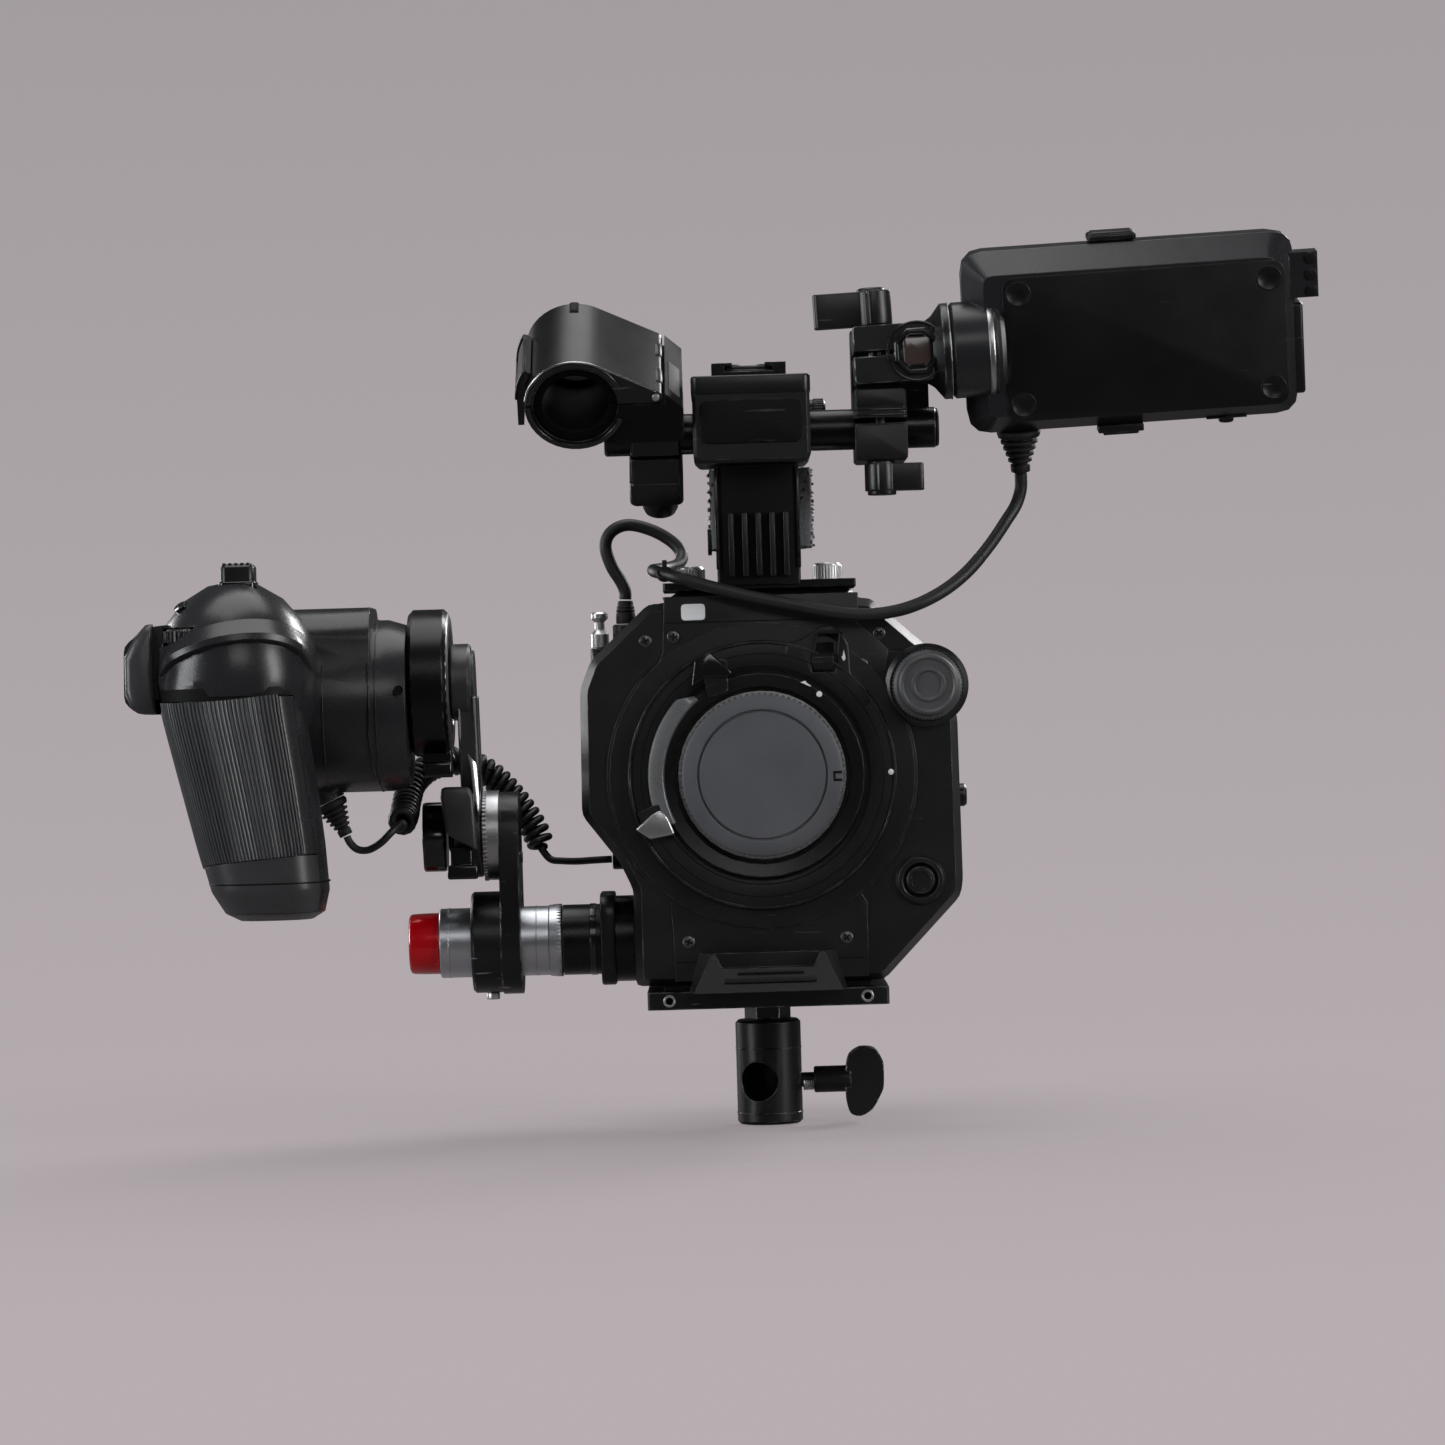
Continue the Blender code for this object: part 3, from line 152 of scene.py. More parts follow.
# ---------------------------------------------------------------- nodes

class Nodes:
    """A short way to add and link nodes in a tree."""

    def __init__(self, tree):
        self.tree = tree

    @cached_property
    def place(self):
        return self.add("ShaderNodeTexCoord", "Object")

    def add(self, kind, out=0, **values):
        """Adds a node and gives one output. Lower-case names set the node, the others feed its inputs."""
        node = self.tree.nodes.new(kind)
        for name, value in values.items():
            if name[0].islower():
                setattr(node, name, value)
            else:
                self.feed(node, name, value)
        return node.outputs[out] if node.outputs else None

    def feed(self, node, name, value):
        """Links or sets one input, given by its name or, as _0, by its place."""
        socket = node.inputs[int(name[1:])] if name[0] == "_" else node.inputs[name.replace("_", " ")]
        if isinstance(value, bpy.types.NodeSocket):
            self.tree.links.new(value, socket)
        else:
            socket.default_value = value

    def noise(self, scale, detail=3.0, stretch=None):
        where = self.place
        if stretch:
            where = self.add("ShaderNodeVectorMath", operation="MULTIPLY", _0=self.place, _1=stretch)
        return self.add("ShaderNodeTexNoise", Vector=where, Scale=scale, Detail=detail, Roughness=0.55)

    def remap(self, value, low, high, to_low=0.0, to_high=1.0, how="LINEAR"):
        return self.add("ShaderNodeMapRange", interpolation_type=how, Value=value, From_Min=low,
            From_Max=high, To_Min=to_low, To_Max=to_high)

    def maths(self, operation, a, b):
        return self.add("ShaderNodeMath", operation=operation, _0=a, _1=b)

    def mix(self, factor, a, b):
        return self.add("ShaderNodeMix", 2, data_type="RGBA", _0=factor, _6=a, _7=b)


# ---------------------------------------------------------------- view, light and floor

def build_camera():
    data = bpy.data.cameras.new("camera")
    data.lens = FOCAL_LENGTH
    data.sensor_width = SENSOR_WIDTH
    obj = bpy.data.objects.new("camera", data)
    obj.location = CAMERA_PLACE
    obj.rotation_euler = CAMERA_TURN
    bpy.context.scene.collection.objects.link(obj)
    bpy.context.scene.camera = obj


def area_light(name, place, target, size, power, colour=(1, 1, 1)):
    data = bpy.data.lights.new(name, "AREA")
    data.shape = "RECTANGLE"
    data.size, data.size_y = size
    data.energy = power
    data.color = colour
    obj = bpy.data.objects.new(name, data)
    obj.location = place
    obj.rotation_euler = (Vector(target) - Vector(place)).to_track_quat("-Z", "Y").to_euler()
    bpy.context.scene.collection.objects.link(obj)


def build_world():
    """A backdrop that darkens upwards, and a dim even light on the object."""
    scene = bpy.context.scene
    scene.view_settings.view_transform = "Standard"
    scene.world = bpy.data.worlds.new("studio")
    scene.world.use_nodes = True
    tree = scene.world.node_tree
    tree.nodes.clear()
    n = Nodes(tree)
    up = n.add("ShaderNodeSeparateXYZ", "Z", _0=n.add("ShaderNodeTexCoord", "Generated"))
    backdrop = n.mix(n.remap(up, *BACKDROP_RISE), BACKDROP_LOW, BACKDROP_HIGH)
    seen = n.add("ShaderNodeBackground", Color=backdrop)
    lit = n.add("ShaderNodeBackground", Color=AMBIENT, Strength=AMBIENT_STRENGTH)
    direct = n.add("ShaderNodeLightPath", "Is Camera Ray")
    n.add("ShaderNodeOutputWorld", _0=n.add("ShaderNodeMixShader", _0=direct, _1=lit, _2=seen))


def build_lights():
    area_light("top_softbox", (-0.1, 0.1, 1.6), (0, 0, 0.2), (1.6, 1.0), 12)
    area_light("rim_softbox", (1.25, 1.45, 1.1), (0.05, 0, 0.2), (0.7, 0.6), 24, (1.0, 0.99, 0.98))
    area_light("left_rim", (-1.3, 1.15, 0.45), (-0.05, 0, 0.18), (0.5, 0.8), 8)
    area_light("right_softbox", (1.5, -0.95, 0.6), (-0.1, -0.05, 0.17), (0.45, 1.1), 13)
    area_light("left_softbox", (-1.6, -0.75, 0.5), (-0.05, 0, 0.18), (0.45, 1.2), 13, (0.96, 0.98, 1.0))
    area_light("front_fill", (0.4, -2.6, 1.4), (0, 0, 0.2), (1.2, 0.8), 6)


def build_floor():
    """A round floor that fades out into the backdrop."""
    bm = bmesh.new()
    bmesh.ops.create_circle(bm, cap_ends=True, radius=FLOOR_RADIUS, segments=96)
    mesh = bpy.data.meshes.new("floor")
    bm.to_mesh(mesh)
    floor = bpy.data.objects.new("floor", mesh)
    floor.location.z = -FLOOR_DROP
    bpy.context.scene.collection.objects.link(floor)
    mat = bpy.data.materials.new("floor")
    mat.use_nodes = True
    n = Nodes(mat.node_tree)
    shader = n.tree.nodes["Principled BSDF"]
    n.feed(shader, "Base_Color", FLOOR_COLOUR)
    n.feed(shader, "Roughness", 0.75)
    n.feed(shader, "Specular_IOR_Level", 0.15)
    far = n.add("ShaderNodeVectorMath", "Value", operation="LENGTH", _0=n.place)
    fade = n.remap(far, *FLOOR_FADE, FLOOR_FADED_FROM, how="SMOOTHSTEP")
    clear = n.add("ShaderNodeBsdfTransparent")
    faded = n.add("ShaderNodeMixShader", _0=fade, _1=shader.outputs[0], _2=clear)
    n.feed(n.tree.nodes["Material Output"], "_0", faded)
    mesh.materials.append(mat)


# ---------------------------------------------------------------- materials

def shade(colour, factor):
    return tuple(min(1.0, c * factor) for c in colour[:3]) + (1.0,)


def finish(slot, name, colour, rough=0.45, metal=0.0, vary=0.18, grain=2600, bump=0.03, wear=0.5,
           wear_colour=(0.30, 0.30, 0.31), wear_metal=0.8, edge=0.5, coat=0.0, specks=0.0, brushed=None,
           scratches=0.35, sheen=0.0, specular=0.5):
    """A worn, slightly uneven surface: tone drift, fine grain, rubbed edges and thin scratches.

    bump and edge are in millimetres, and vary, wear, specks and scratches are strengths from 0 to 1. It gives
    the material and its slot.
    """
    mat = bpy.data.materials.new(name)
    mat.use_nodes = True
    n = Nodes(mat.node_tree)
    shader = n.tree.nodes["Principled BSDF"]
    drift = n.noise(42, 5.0)
    tone = n.mix(n.remap(drift, 0.3, 0.7), shade(colour, 1 - vary), shade(colour, 1 + vary))
    fine = n.noise(grain, 2.0, brushed)
    tone = n.mix(n.remap(fine, 0.25, 0.75), shade(colour, 1 - vary * 0.6), tone)
    if specks:
        dots = n.remap(n.noise(grain * 0.8, 1.0), 0.66, 0.74, 0.0, specks)
        tone = n.mix(dots, tone, shade(colour, 6.0))
    rounded = n.add("ShaderNodeBevel", samples=4, Radius=edge * MM)
    plain = n.add("ShaderNodeNewGeometry", "Normal")
    turned = n.add("ShaderNodeVectorMath", "Value", operation="DOT_PRODUCT", _0=rounded, _1=plain)
    corner = n.remap(turned, 0.985, 0.86)
    patchy = n.remap(n.noise(160, 6.0), 0.44, 0.62)
    rubbed = n.maths("MULTIPLY", n.maths("MULTIPLY", corner, patchy), wear)
    scrape = n.remap(n.noise(55, 2.0, (1.0, 1.0, 14.0)), 0.70, 0.73, 0.0, scratches)
    scrape = n.maths("MULTIPLY", scrape, n.remap(n.noise(18, 2.0), 0.5, 0.6))
    worn = n.maths("MAXIMUM", rubbed, scrape)
    tone = n.mix(worn, tone, tuple(wear_colour) + (1.0,))
    relief = n.add("ShaderNodeBump", Strength=1.0, Distance=bump * MM, Height=fine, Normal=rounded)
    uneven = n.maths("ADD", n.maths("MULTIPLY", drift, 0.6), n.maths("MULTIPLY", fine, 0.4))
    n.feed(shader, "Base_Color", tone)
    n.feed(shader, "Roughness", n.remap(uneven, 0.3, 0.7, rough * 0.8, rough * 1.2))
    n.feed(shader, "Metallic", n.maths("MAXIMUM", n.maths("MULTIPLY", worn, wear_metal), metal))
    n.feed(shader, "Normal", relief)
    n.feed(shader, "Specular_IOR_Level", specular)
    n.feed(shader, "Coat_Weight", coat)
    n.feed(shader, "Coat_Roughness", 0.12)
    n.feed(shader, "Sheen_Weight", sheen)
    return mat, slot


def build_materials():
    alu = (0.55, 0.55, 0.57)
    return {
        "body": finish("body_black", "body_paint", (0.0048, 0.0048, 0.0055), 0.40, specks=0.35, grain=2100,
            bump=0.05, wear=0.55, scratches=0.12),
        "satin": finish("satin_black", "satin_black", (0.008, 0.0082, 0.009), 0.33, wear=0.65, scratches=0.5),
        "anodised": finish("anodised_black", "anodised_black", (0.005, 0.005, 0.0055), 0.28, metal=0.25,
            wear=0.8, bump=0.015, wear_colour=alu, scratches=0.6),
        "worn_plate": finish("satin_black", "worn_plate", (0.0075, 0.0075, 0.0085), 0.32, wear=1.0,
            wear_colour=alu, edge=0.9, bump=0.02, scratches=0.9),
        "cast": finish("bare_aluminium", "cast_alloy", (0.075, 0.075, 0.078), 0.36, metal=0.5, vary=0.3,
            wear=0.9, wear_colour=alu, edge=0.8, grain=1300, bump=0.06),
        "cap": finish("cap_grey", "cap_grey", (0.115, 0.118, 0.130), 0.50, wear=0.25, bump=0.03,
            scratches=0.3),
        "plastic": finish("grip_plastic", "grip_plastic", (0.026, 0.026, 0.029), 0.27, wear=0.25, grain=1900,
            bump=0.03, scratches=0.25),
        "screen_shell": finish("grip_plastic", "monitor_shell", (0.02, 0.0205, 0.023), 0.30, wear=0.45,
            grain=2400, bump=0.02),
        "screen_back": finish("grip_plastic", "monitor_panel", (0.003, 0.0032, 0.0036), 0.36, wear=0.3,
            bump=0.02),
        "rubber": finish("rubber_black", "rubber", (0.012, 0.012, 0.0125), 0.60, wear=0.12,
            wear_colour=(0.07, 0.07, 0.07), wear_metal=0.0, bump=0.04, scratches=0.0, specular=0.35),
        "cable": finish("rubber_black", "cable_sheath", (0.016, 0.016, 0.0175), 0.46, vary=0.05, wear=0.0,
            bump=0.0, scratches=0.0),
        "alu": finish("bare_aluminium", "bare_aluminium", (0.74, 0.76, 0.80), 0.34, metal=1.0, vary=0.04,
            grain=1500, brushed=(0.15, 1, 1), bump=0.004, wear=0.0, scratches=0.0),
        "steel": finish("bright_steel", "bright_steel", (0.80, 0.80, 0.79), 0.34, metal=1.0, vary=0.10,
            wear=0.3, bump=0.01, wear_colour=(0.8, 0.8, 0.8), scratches=0.3),
        "gunmetal": finish("anodised_black", "gunmetal", (0.011, 0.0115, 0.0105), 0.36, metal=0.35, wear=0.7,
            wear_colour=alu, vary=0.3, scratches=0.7),
        "red": finish("red_anodised", "red_anodised", (0.72, 0.002, 0.010), 0.20, metal=0.3, vary=0.12,
            wear=0.25, coat=0.6, wear_colour=(0.7, 0.4, 0.4), bump=0.008, scratches=0.1),
        "white": finish("lamp_white", "white_mark", (0.94, 0.95, 0.97), 0.5, vary=0.06, wear=0.0,
            scratches=0.0),
        # Near-black with little shine. Filling the screw recesses, the grip housing's screw hole and the band
        # under the grip's brim, it is painted shade; elsewhere it is dark seams, slots and printed marks.
        "dark": finish("satin_black", "seam_mark_and_shade_black", (0.004, 0.004, 0.004), 0.6, wear=0.0, scratches=0.0,
            specular=0.2),
        "fabric": finish("strap_fabric", "strap_fabric", (0.17, 0.17, 0.18), 0.9, vary=0.5, grain=1500,
            bump=0.35, wear=0.0, scratches=0.0, sheen=0.5, specular=0.1),
        "board": finish("circuit_green", "circuit_green", (0.02, 0.09, 0.045), 0.4, wear=0.0, scratches=0.0),
        "glass": finish("satin_black", "screen_glass", (0.004, 0.005, 0.007), 0.10, vary=0.1, wear=0.0,
            bump=0.0, coat=1.0, scratches=0.05),
        "amber": finish("bare_aluminium", "bar_end", (0.06, 0.04, 0.034), 0.08, coat=1.0, wear=0.3,
            bump=0.01),
        "silver_plate": finish("bare_aluminium", "silver_rosette", (0.62, 0.62, 0.63), 0.32, metal=1.0,
            vary=0.2, bump=0.02, wear=0.3, wear_colour=(0.75, 0.75, 0.76)),
        "screw": finish("bright_steel", "blackened_steel", (0.13, 0.13, 0.135), 0.32, metal=0.85, vary=0.2,
            wear=0.7, wear_colour=(0.6, 0.6, 0.6), edge=0.25, bump=0.01, scratches=0.3),
        "gloss": finish("satin_black", "gloss_black", (0.004, 0.004, 0.0045), 0.15, wear=0.35, bump=0.01,
            coat=0.6, scratches=0.2),
        "knob": finish("satin_black", "knob_face", (0.085, 0.086, 0.09), 0.42, wear=0.4, bump=0.02,
            scratches=0.3),
        "crescent": finish("satin_black", "lever_satin", (0.28, 0.285, 0.295), 0.30, metal=0.6, vary=0.12,
            wear=0.5, bump=0.01, wear_colour=alu, scratches=0.2),
        # Blacker and duller than the other rubber: the liner's own black rubber, darkened further as painted
        # shade inside the microphone's bore.
        "liner": finish("rubber_black", "liner_rubber_and_shade_black", (0.0015, 0.0015, 0.0015), 0.85, wear=0.0, bump=0.02,
            scratches=0.0, specular=0.1),
        "silver_edge": finish("bright_steel", "polished_edge", (0.72, 0.73, 0.75), 0.18, metal=1.0, vary=0.08,
            wear=0.0, bump=0.005, scratches=0.0),
        "inset_grey": finish("satin_black", "inset_grey", (0.13, 0.133, 0.138), 0.6, vary=0.12, wear=0.2,
            bump=0.02, scratches=0.1, specular=0.1),
        "cradle": finish("satin_black", "cradle_matt", (0.006, 0.006, 0.0068), 0.6, wear=0.5, scratches=0.3,
            specular=0.12),
        # A lighter copy of the grip plastic: painted light on the grip's foot and on the flap.
        "foot": finish("grip_plastic", "grip_foot_lit", (0.055, 0.055, 0.059), 0.32, wear=0.15, grain=1900,
            bump=0.03, scratches=0.1),
        # Grey rather than black like the other rubber: real gloss, plus a lighter base that is painted light
        # on the grip's ribs.
        "rubber_sheen": finish("rubber_black", "ribbed_rubber_lit", (0.085, 0.086, 0.092), 0.24, wear=0.0,
            bump=0.015, scratches=0.0),
    }


NODE_FINISH = {
    "body": "body_shell front_plate mount_ring rear_cover front_foot",
    "satin": "handle_head release_slider wb_button rod_clamp mic_clamp mic_lid mic_latch "
             "mic_clamp_knob audio_knob lock_lever rod_knob bar_knob hood_latch grip_rocker thumb_dial",
    "anodised": "accessory_shoe cross_rod nd_wheel side_flange side_barrel arm_knob grip_disc",
    "worn_plate": "mounting_plate link_plate tilt_arm t_screw",
    "cast": "swing_arm",
    "cradle": "mic_cradle handle_post",
    "gunmetal": "stand_receiver",
    "cap": "body_cap",
    "plastic": "grip_body battery",
    "screen_shell": "monitor_back monitor_bezel",
    "rubber": "grip_rubber grip_boot monitor_gland monitor_plug",
    "alu": "side_tube square_bar",
    "steel": "bayonet_flange pull_pin thumbscrew_left thumbscrew_right",
    "red": "tube_cap",
    "white": "tally_lamp",
    "fabric": "cable_strap",
    "board": "sensor_unit",
    "cable": "monitor_cable grip_coil grip_lead grip_tail",
}


def smoothing_group():
    """Geometry nodes that join split corners and smooth all but the sharp edges."""
    group = bpy.data.node_groups.new("smooth_by_angle", "GeometryNodeTree")
    group.interface.new_socket("Geometry", in_out="INPUT", socket_type="NodeSocketGeometry")
    group.interface.new_socket("Geometry", in_out="OUTPUT", socket_type="NodeSocketGeometry")
    n = Nodes(group)
    plain = n.add("GeometryNodeRemoveAttribute", _0=n.add("NodeGroupInput"), Name="custom_normal")
    weld = n.add("GeometryNodeMergeByDistance", _0=plain, Distance=WELD_DISTANCE)
    faces = n.add("GeometryNodeSetShadeSmooth", _0=weld)
    angle = n.add("GeometryNodeInputMeshEdgeAngle", "Unsigned Angle")
    flat_enough = n.add("FunctionNodeCompare", operation="LESS_THAN", A=angle, B=SMOOTH_ANGLE)
    edges = n.add("GeometryNodeSetShadeSmooth", domain="EDGE", _0=faces, Shade_Smooth=flat_enough)
    n.add("NodeGroupOutput", _0=edges)
    return group


MATERIALS = build_materials()
SMOOTHING = smoothing_group()


def smooth(obj):
    modifier = obj.modifiers.new("smooth_by_angle", "NODES")
    modifier.node_group = SMOOTHING


def dress_nodes():
    for kind, names in NODE_FINISH.items():
        for name in names.split():
            obj = NODES[name]
            obj.data.materials.clear()
            obj.data.materials.append(MATERIALS[kind][0])
            smooth(obj)


# ---------------------------------------------------------------- mesh helpers, all in millimetres

AXES = {"X": lambda u, v, w: (w, u, v), "Y": lambda u, v, w: (u, w, v), "Z": lambda u, v, w: (u, v, w)}


def band(bm, a, b):
    """Faces all the way round between two loops of points."""
    for i in range(len(a)):
        j = (i + 1) % len(a)
        bm.faces.new((a[i], a[j], b[j], b[i]))


def outward(bm):
    bmesh.ops.recalc_face_normals(bm, faces=bm.faces)
    return bm


def prism(points, axis, low, high):
    """A closed prism of an outline, between two places along an axis."""
    bm = bmesh.new()
    at = AXES[axis]
    rings = [[bm.verts.new(at(u, v, w)) for u, v in points] for w in (low, high)]
    bm.faces.new(rings[0])
    bm.faces.new(rings[1])
    band(bm, *rings)
    return outward(bm)


def block(x, y, z):
    return prism([(x[0], y[0]), (x[1], y[0]), (x[1], y[1]), (x[0], y[1])], "Z", z[0], z[1])


def lathe(profile, axis, centre, steps=64):
    """A solid of revolution. profile holds (radius, place along the axis); radius 0 ends close it."""
    bm = bmesh.new()
    at = AXES[axis]
    rings = []
    for radius, along in profile:
        if radius < 1e-6:
            rings.append([bm.verts.new(at(centre[0], centre[1], along))])
            continue
        rings.append([bm.verts.new(at(u, v, along)) for u, v in circle(radius, centre, steps)])
    pairs = list(zip(rings, rings[1:]))
    if profile[0][0] > 1e-6:
        pairs.append((rings[-1], rings[0]))
    for a, b in pairs:
        for i in range(steps):
            j = (i + 1) % steps
            corners = list(dict.fromkeys((a[i % len(a)], a[j % len(a)], b[j % len(b)], b[i % len(b)])))
            if len(corners) > 2:
                bm.faces.new(corners)
    return outward(bm)


def cylinder(radius, low, high, axis, centre, steps):
    """A plain round rod."""
    return lathe([(0, low), (radius, low), (radius, high), (0, high)], axis, centre, steps)


def hoop(inner, outer, low, high, axis, centre, steps=64):
    """A ring with a square section."""
    return lathe([(inner, low), (outer, low), (outer, high), (inner, high)], axis, centre, steps)


def circle(radius, centre, steps=32, start=0.0, sweep=360.0):
    count = steps if sweep >= 360 else steps + 1
    turns = [math.radians(start + sweep * i / steps) for i in range(count)]
    return [(centre[0] + radius * math.cos(t), centre[1] + radius * math.sin(t)) for t in turns]


def round_box(x, y, radius, steps=6):
    """Outline of a rectangle with round corners."""
    points = []
    for cx, cy, start in ((x[1] - radius, y[1] - radius, 0), (x[0] + radius, y[1] - radius, 90),
            (x[0] + radius, y[0] + radius, 180), (x[1] - radius, y[0] + radius, 270)):
        points += circle(radius, (cx, cy), steps, start, 90)
    return points


def slab(x, y, radius, axis, low, high):
    """A prism of a rectangle with round corners."""
    return prism(round_box(x, y, radius), axis, low, high)


def gear(radius, depth, teeth, centre):
    """Outline of a knurled edge."""
    points = []
    for i in range(teeth):
        for part, r in ((0.0, radius), (0.42, radius), (0.58, radius - depth), (0.84, radius - depth)):
            turn = 2 * math.pi * (i + part) / teeth
            points.append((centre[0] + r * math.cos(turn), centre[1] + r * math.sin(turn)))
    return points


def recessed(outer, hole, axis, face, back, floor):
    """A plate with an outline, and a sunken pocket of another outline in its face."""
    bm = bmesh.new()
    at = AXES[axis]
    loops = {}
    places = (("top", outer, face), ("rim", hole, face), ("back", outer, back), ("floor", hole, floor))
    for key, outline, w in places:
        loops[key] = [bm.verts.new(at(u, v, w)) for u, v in outline]
    edges = []
    for key in ("top", "rim"):
        loop = loops[key]
        edges += [bm.edges.new((loop[i], loop[(i + 1) % len(loop)])) for i in range(len(loop))]
    bmesh.ops.triangle_fill(bm, use_beauty=True, use_dissolve=False, edges=edges)
    band(bm, loops["top"], loops["back"])
    band(bm, loops["rim"], loops["floor"])
    bm.faces.new(loops["back"])
    bm.faces.new(loops["floor"])
    return outward(bm)


def spline(points, step=1.2):
    """Points about step apart on a smooth curve through the given ones."""
    points = [Vector(p) for p in points]
    out = []
    for i in range(len(points) - 1):
        a, b, c, d = points[max(i - 1, 0)], points[i], points[i + 1], points[min(i + 2, len(points) - 1)]
        count = max(1, round((c - b).length / step))
        for k in range(count):
            t = k / count
            square = (2 * a - 5 * b + 4 * c - d) * t ** 2
            cube = (3 * b - a - 3 * c + d) * t ** 3
            out.append(0.5 * (2 * b + (c - a) * t + square + cube))
    return out + [points[-1]]


def frames_along(path):
    """(point, side, up) at each point, without twist."""
    ahead = (path[1] - path[0]).normalized()
    side = ahead.orthogonal().normalized()
    out = []
    for i, point in enumerate(path):
        ahead = (path[min(i + 1, len(path) - 1)] - path[max(i - 1, 0)]).normalized()
        side = (side - ahead * side.dot(ahead)).normalized()
        out.append((point, side, ahead.cross(side)))
    return out


def loft(rings, closed=False):
    """A solid through rings of as many points each, with caps or, if closed, joined to its own start."""
    bm = bmesh.new()
    made = [[bm.verts.new(p) for p in ring] for ring in rings]
    for a, b in zip(made, made[1:] + (made[:1] if closed else [])):
        band(bm, a, b)
    if not closed:
        bm.faces.new(made[0])
        bm.faces.new(made[-1])
    return outward(bm)


def pipe(path, radius, sides=14):
    """A round tube along points."""
    turns = [2 * math.pi * k / sides for k in range(sides)]
    rings = []
    for point, side, up in frames_along([Vector(p) for p in path]):
        rings.append([point + radius * (side * math.cos(t) + up * math.sin(t)) for t in turns])
    return loft(rings)


def joined(parts):
    """Several meshes as one."""
    whole = bmesh.new()
    for part in parts:
        holder = bpy.data.meshes.new("holder")
        part.to_mesh(holder)
        part.free()
        whole.from_mesh(holder)
        bpy.data.meshes.remove(holder)
    return whole


def piece(name, bm, kind, body, at=None, bevel=0.0, rounding=0.0, replaces=()):
    """Turns a mesh in millimetres, or a list of them, into a finished piece that rides on a CAD body.

    The mesh is in its body's frame, or in the one that at gives. A bevel has two steps, a rounding three.
    """
    if isinstance(bm, list):
        bm = joined(bm)
    matrix = Matrix.Scale(MM, 4) @ (at or BODY_FRAMES.get(body) or Matrix.Identity(4))
    bmesh.ops.transform(bm, matrix=matrix, verts=bm.verts)
    mesh = bpy.data.meshes.new(name)
    bm.to_mesh(mesh)
    bm.free()
    obj = bpy.data.objects.new(name, mesh)
    bpy.context.scene.collection.objects.link(obj)
    mat, slot = MATERIALS[kind]
    mesh.materials.append(mat)
    if bevel or rounding:
        modifier = obj.modifiers.new("bevel", "BEVEL")
        modifier.width = (bevel or rounding) * MM
        modifier.segments = 3 if rounding else 2
        modifier.limit_method = "ANGLE"
        modifier.angle_limit = BEVEL_ANGLE
    smooth(obj)
    if body:
        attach(obj, body)
    if replaces:
        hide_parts(*replaces)
    return obj


# ---------------------------------------------------------------- cables

def path_length(path):
    return sum((b - a).length for a, b in zip(path, path[1:]))


def cord_piece(name, path, diameter, bodies, replaces, sides=12):
    """One stretch of cable: on one body, or, across the joint between two, a fixed mesh on no body."""
    bm = pipe(path, diameter / 2, sides)
    obj = piece(name, bm, "cable", bodies[0] if len(bodies) == 1 else None, replaces=replaces)
    if len(bodies) == 2:
        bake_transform(obj)


def split(path, lengths):
    """Cuts a path into stretches of these lengths and what is left."""
    out, current, travelled = [], [path[0]], 0.0
    lengths = list(lengths)
    for a, b in zip(path, path[1:]):
        travelled += (b - a).length
        current.append(b)
        if lengths and travelled >= lengths[0]:
            out.append(current)
            current, travelled = [b], 0.0
            lengths.pop(0)
    return out + [current]


def build_monitor_cable():
    path = spline(MONITOR_CABLE_ROUTE)
    bodies = [("monitor", "tilt_arm"), ("tilt_arm", "rod_clamp"), ("rod_clamp", "cross_rod"),
        ("cross_rod", "camera"), ("camera",)]
    for i, (stretch, pair) in enumerate(zip(split(path, [MONITOR_STRETCH] * 4), bodies)):
        cord_piece("monitor_cable_%d" % (i + 1), stretch, MONITOR_CABLE_D, pair, ["monitor_cable"])


def coil_path():
    """The wire's own line: a straight lead, then turns about the route, then a straight tail."""
    middle = spline(COIL_ROUTE, 0.25)
    total = path_length(middle)
    wire, travelled, last = [], 0.0, middle[0]
    for point, side, up in frames_along(middle):
        travelled += (point - last).length
        last = point
        ramp = min(1.0, travelled / COIL_RAMP, (total - travelled) / COIL_RAMP)
        radius = COIL_R * (0.15 + 0.85 * ramp)
        turn = 2 * math.pi * travelled / COIL_PITCH
        wire.append(point + radius * (side * math.cos(turn) + up * math.sin(turn)))
    lead = [Vector(p) for p in LEAD_ROUTE] + [wire[0]]
    tail = [wire[-1]] + [Vector(p) for p in TAIL_ROUTE]
    return spline(lead, 1.0)[:-1], wire, spline(tail, 1.0)[1:]


def build_coiled_cable():
    lead, wire, tail = coil_path()
    bodies = [("grip",), ("grip", "grip_disc"), ("grip_disc", "swing_arm"), ("swing_arm", "link_plate"),
              ("link_plate", "side_tube"), ("side_tube", "camera")]
    share = path_length(wire) / 6
    stretches = split(wire, [share] * 5)
    stretches[0] = lead + stretches[0]
    stretches[-1] = stretches[-1] + tail[:2]
    for i, (stretch, pair) in enumerate(zip(stretches, bodies)):
        hidden = ["grip_coil", "grip_lead"] if i == 0 else ["grip_coil"]
        cord_piece("grip_cable_%d" % (i + 1), stretch, LEAD_D, pair, hidden, 10)
    cord_piece("grip_cable_7", tail[1:], LEAD_D, ("camera",), ["grip_tail"], 10)


# ---------------------------------------------------------------- small shapes used on several parts

def arc_band(r0, r1, centre, start, sweep, steps=40):
    """Outline of part of a flat ring."""
    return circle(r1, centre, steps, start, sweep) + list(reversed(circle(r0, centre, steps, start, sweep)))


def cross(centre, reach, half, turn=0.0):
    """Outline of a cross-head recess."""
    corners = [(half, reach), (half, half), (reach, half), (reach, -half), (half, -half), (half, -reach),
        (-half, -reach), (-half, -half), (-reach, -half), (-reach, half), (-half, half), (-half, reach)]
    c, s = math.cos(turn), math.sin(turn)
    return [(centre[0] + x * c - y * s, centre[1] + x * s + y * c) for x, y in corners]


def loop(points, radius, sides=6):
    """A thin closed bead through points."""
    points = [Vector(p) for p in points]
    return pipe(points + [points[0], points[1]], radius, sides)


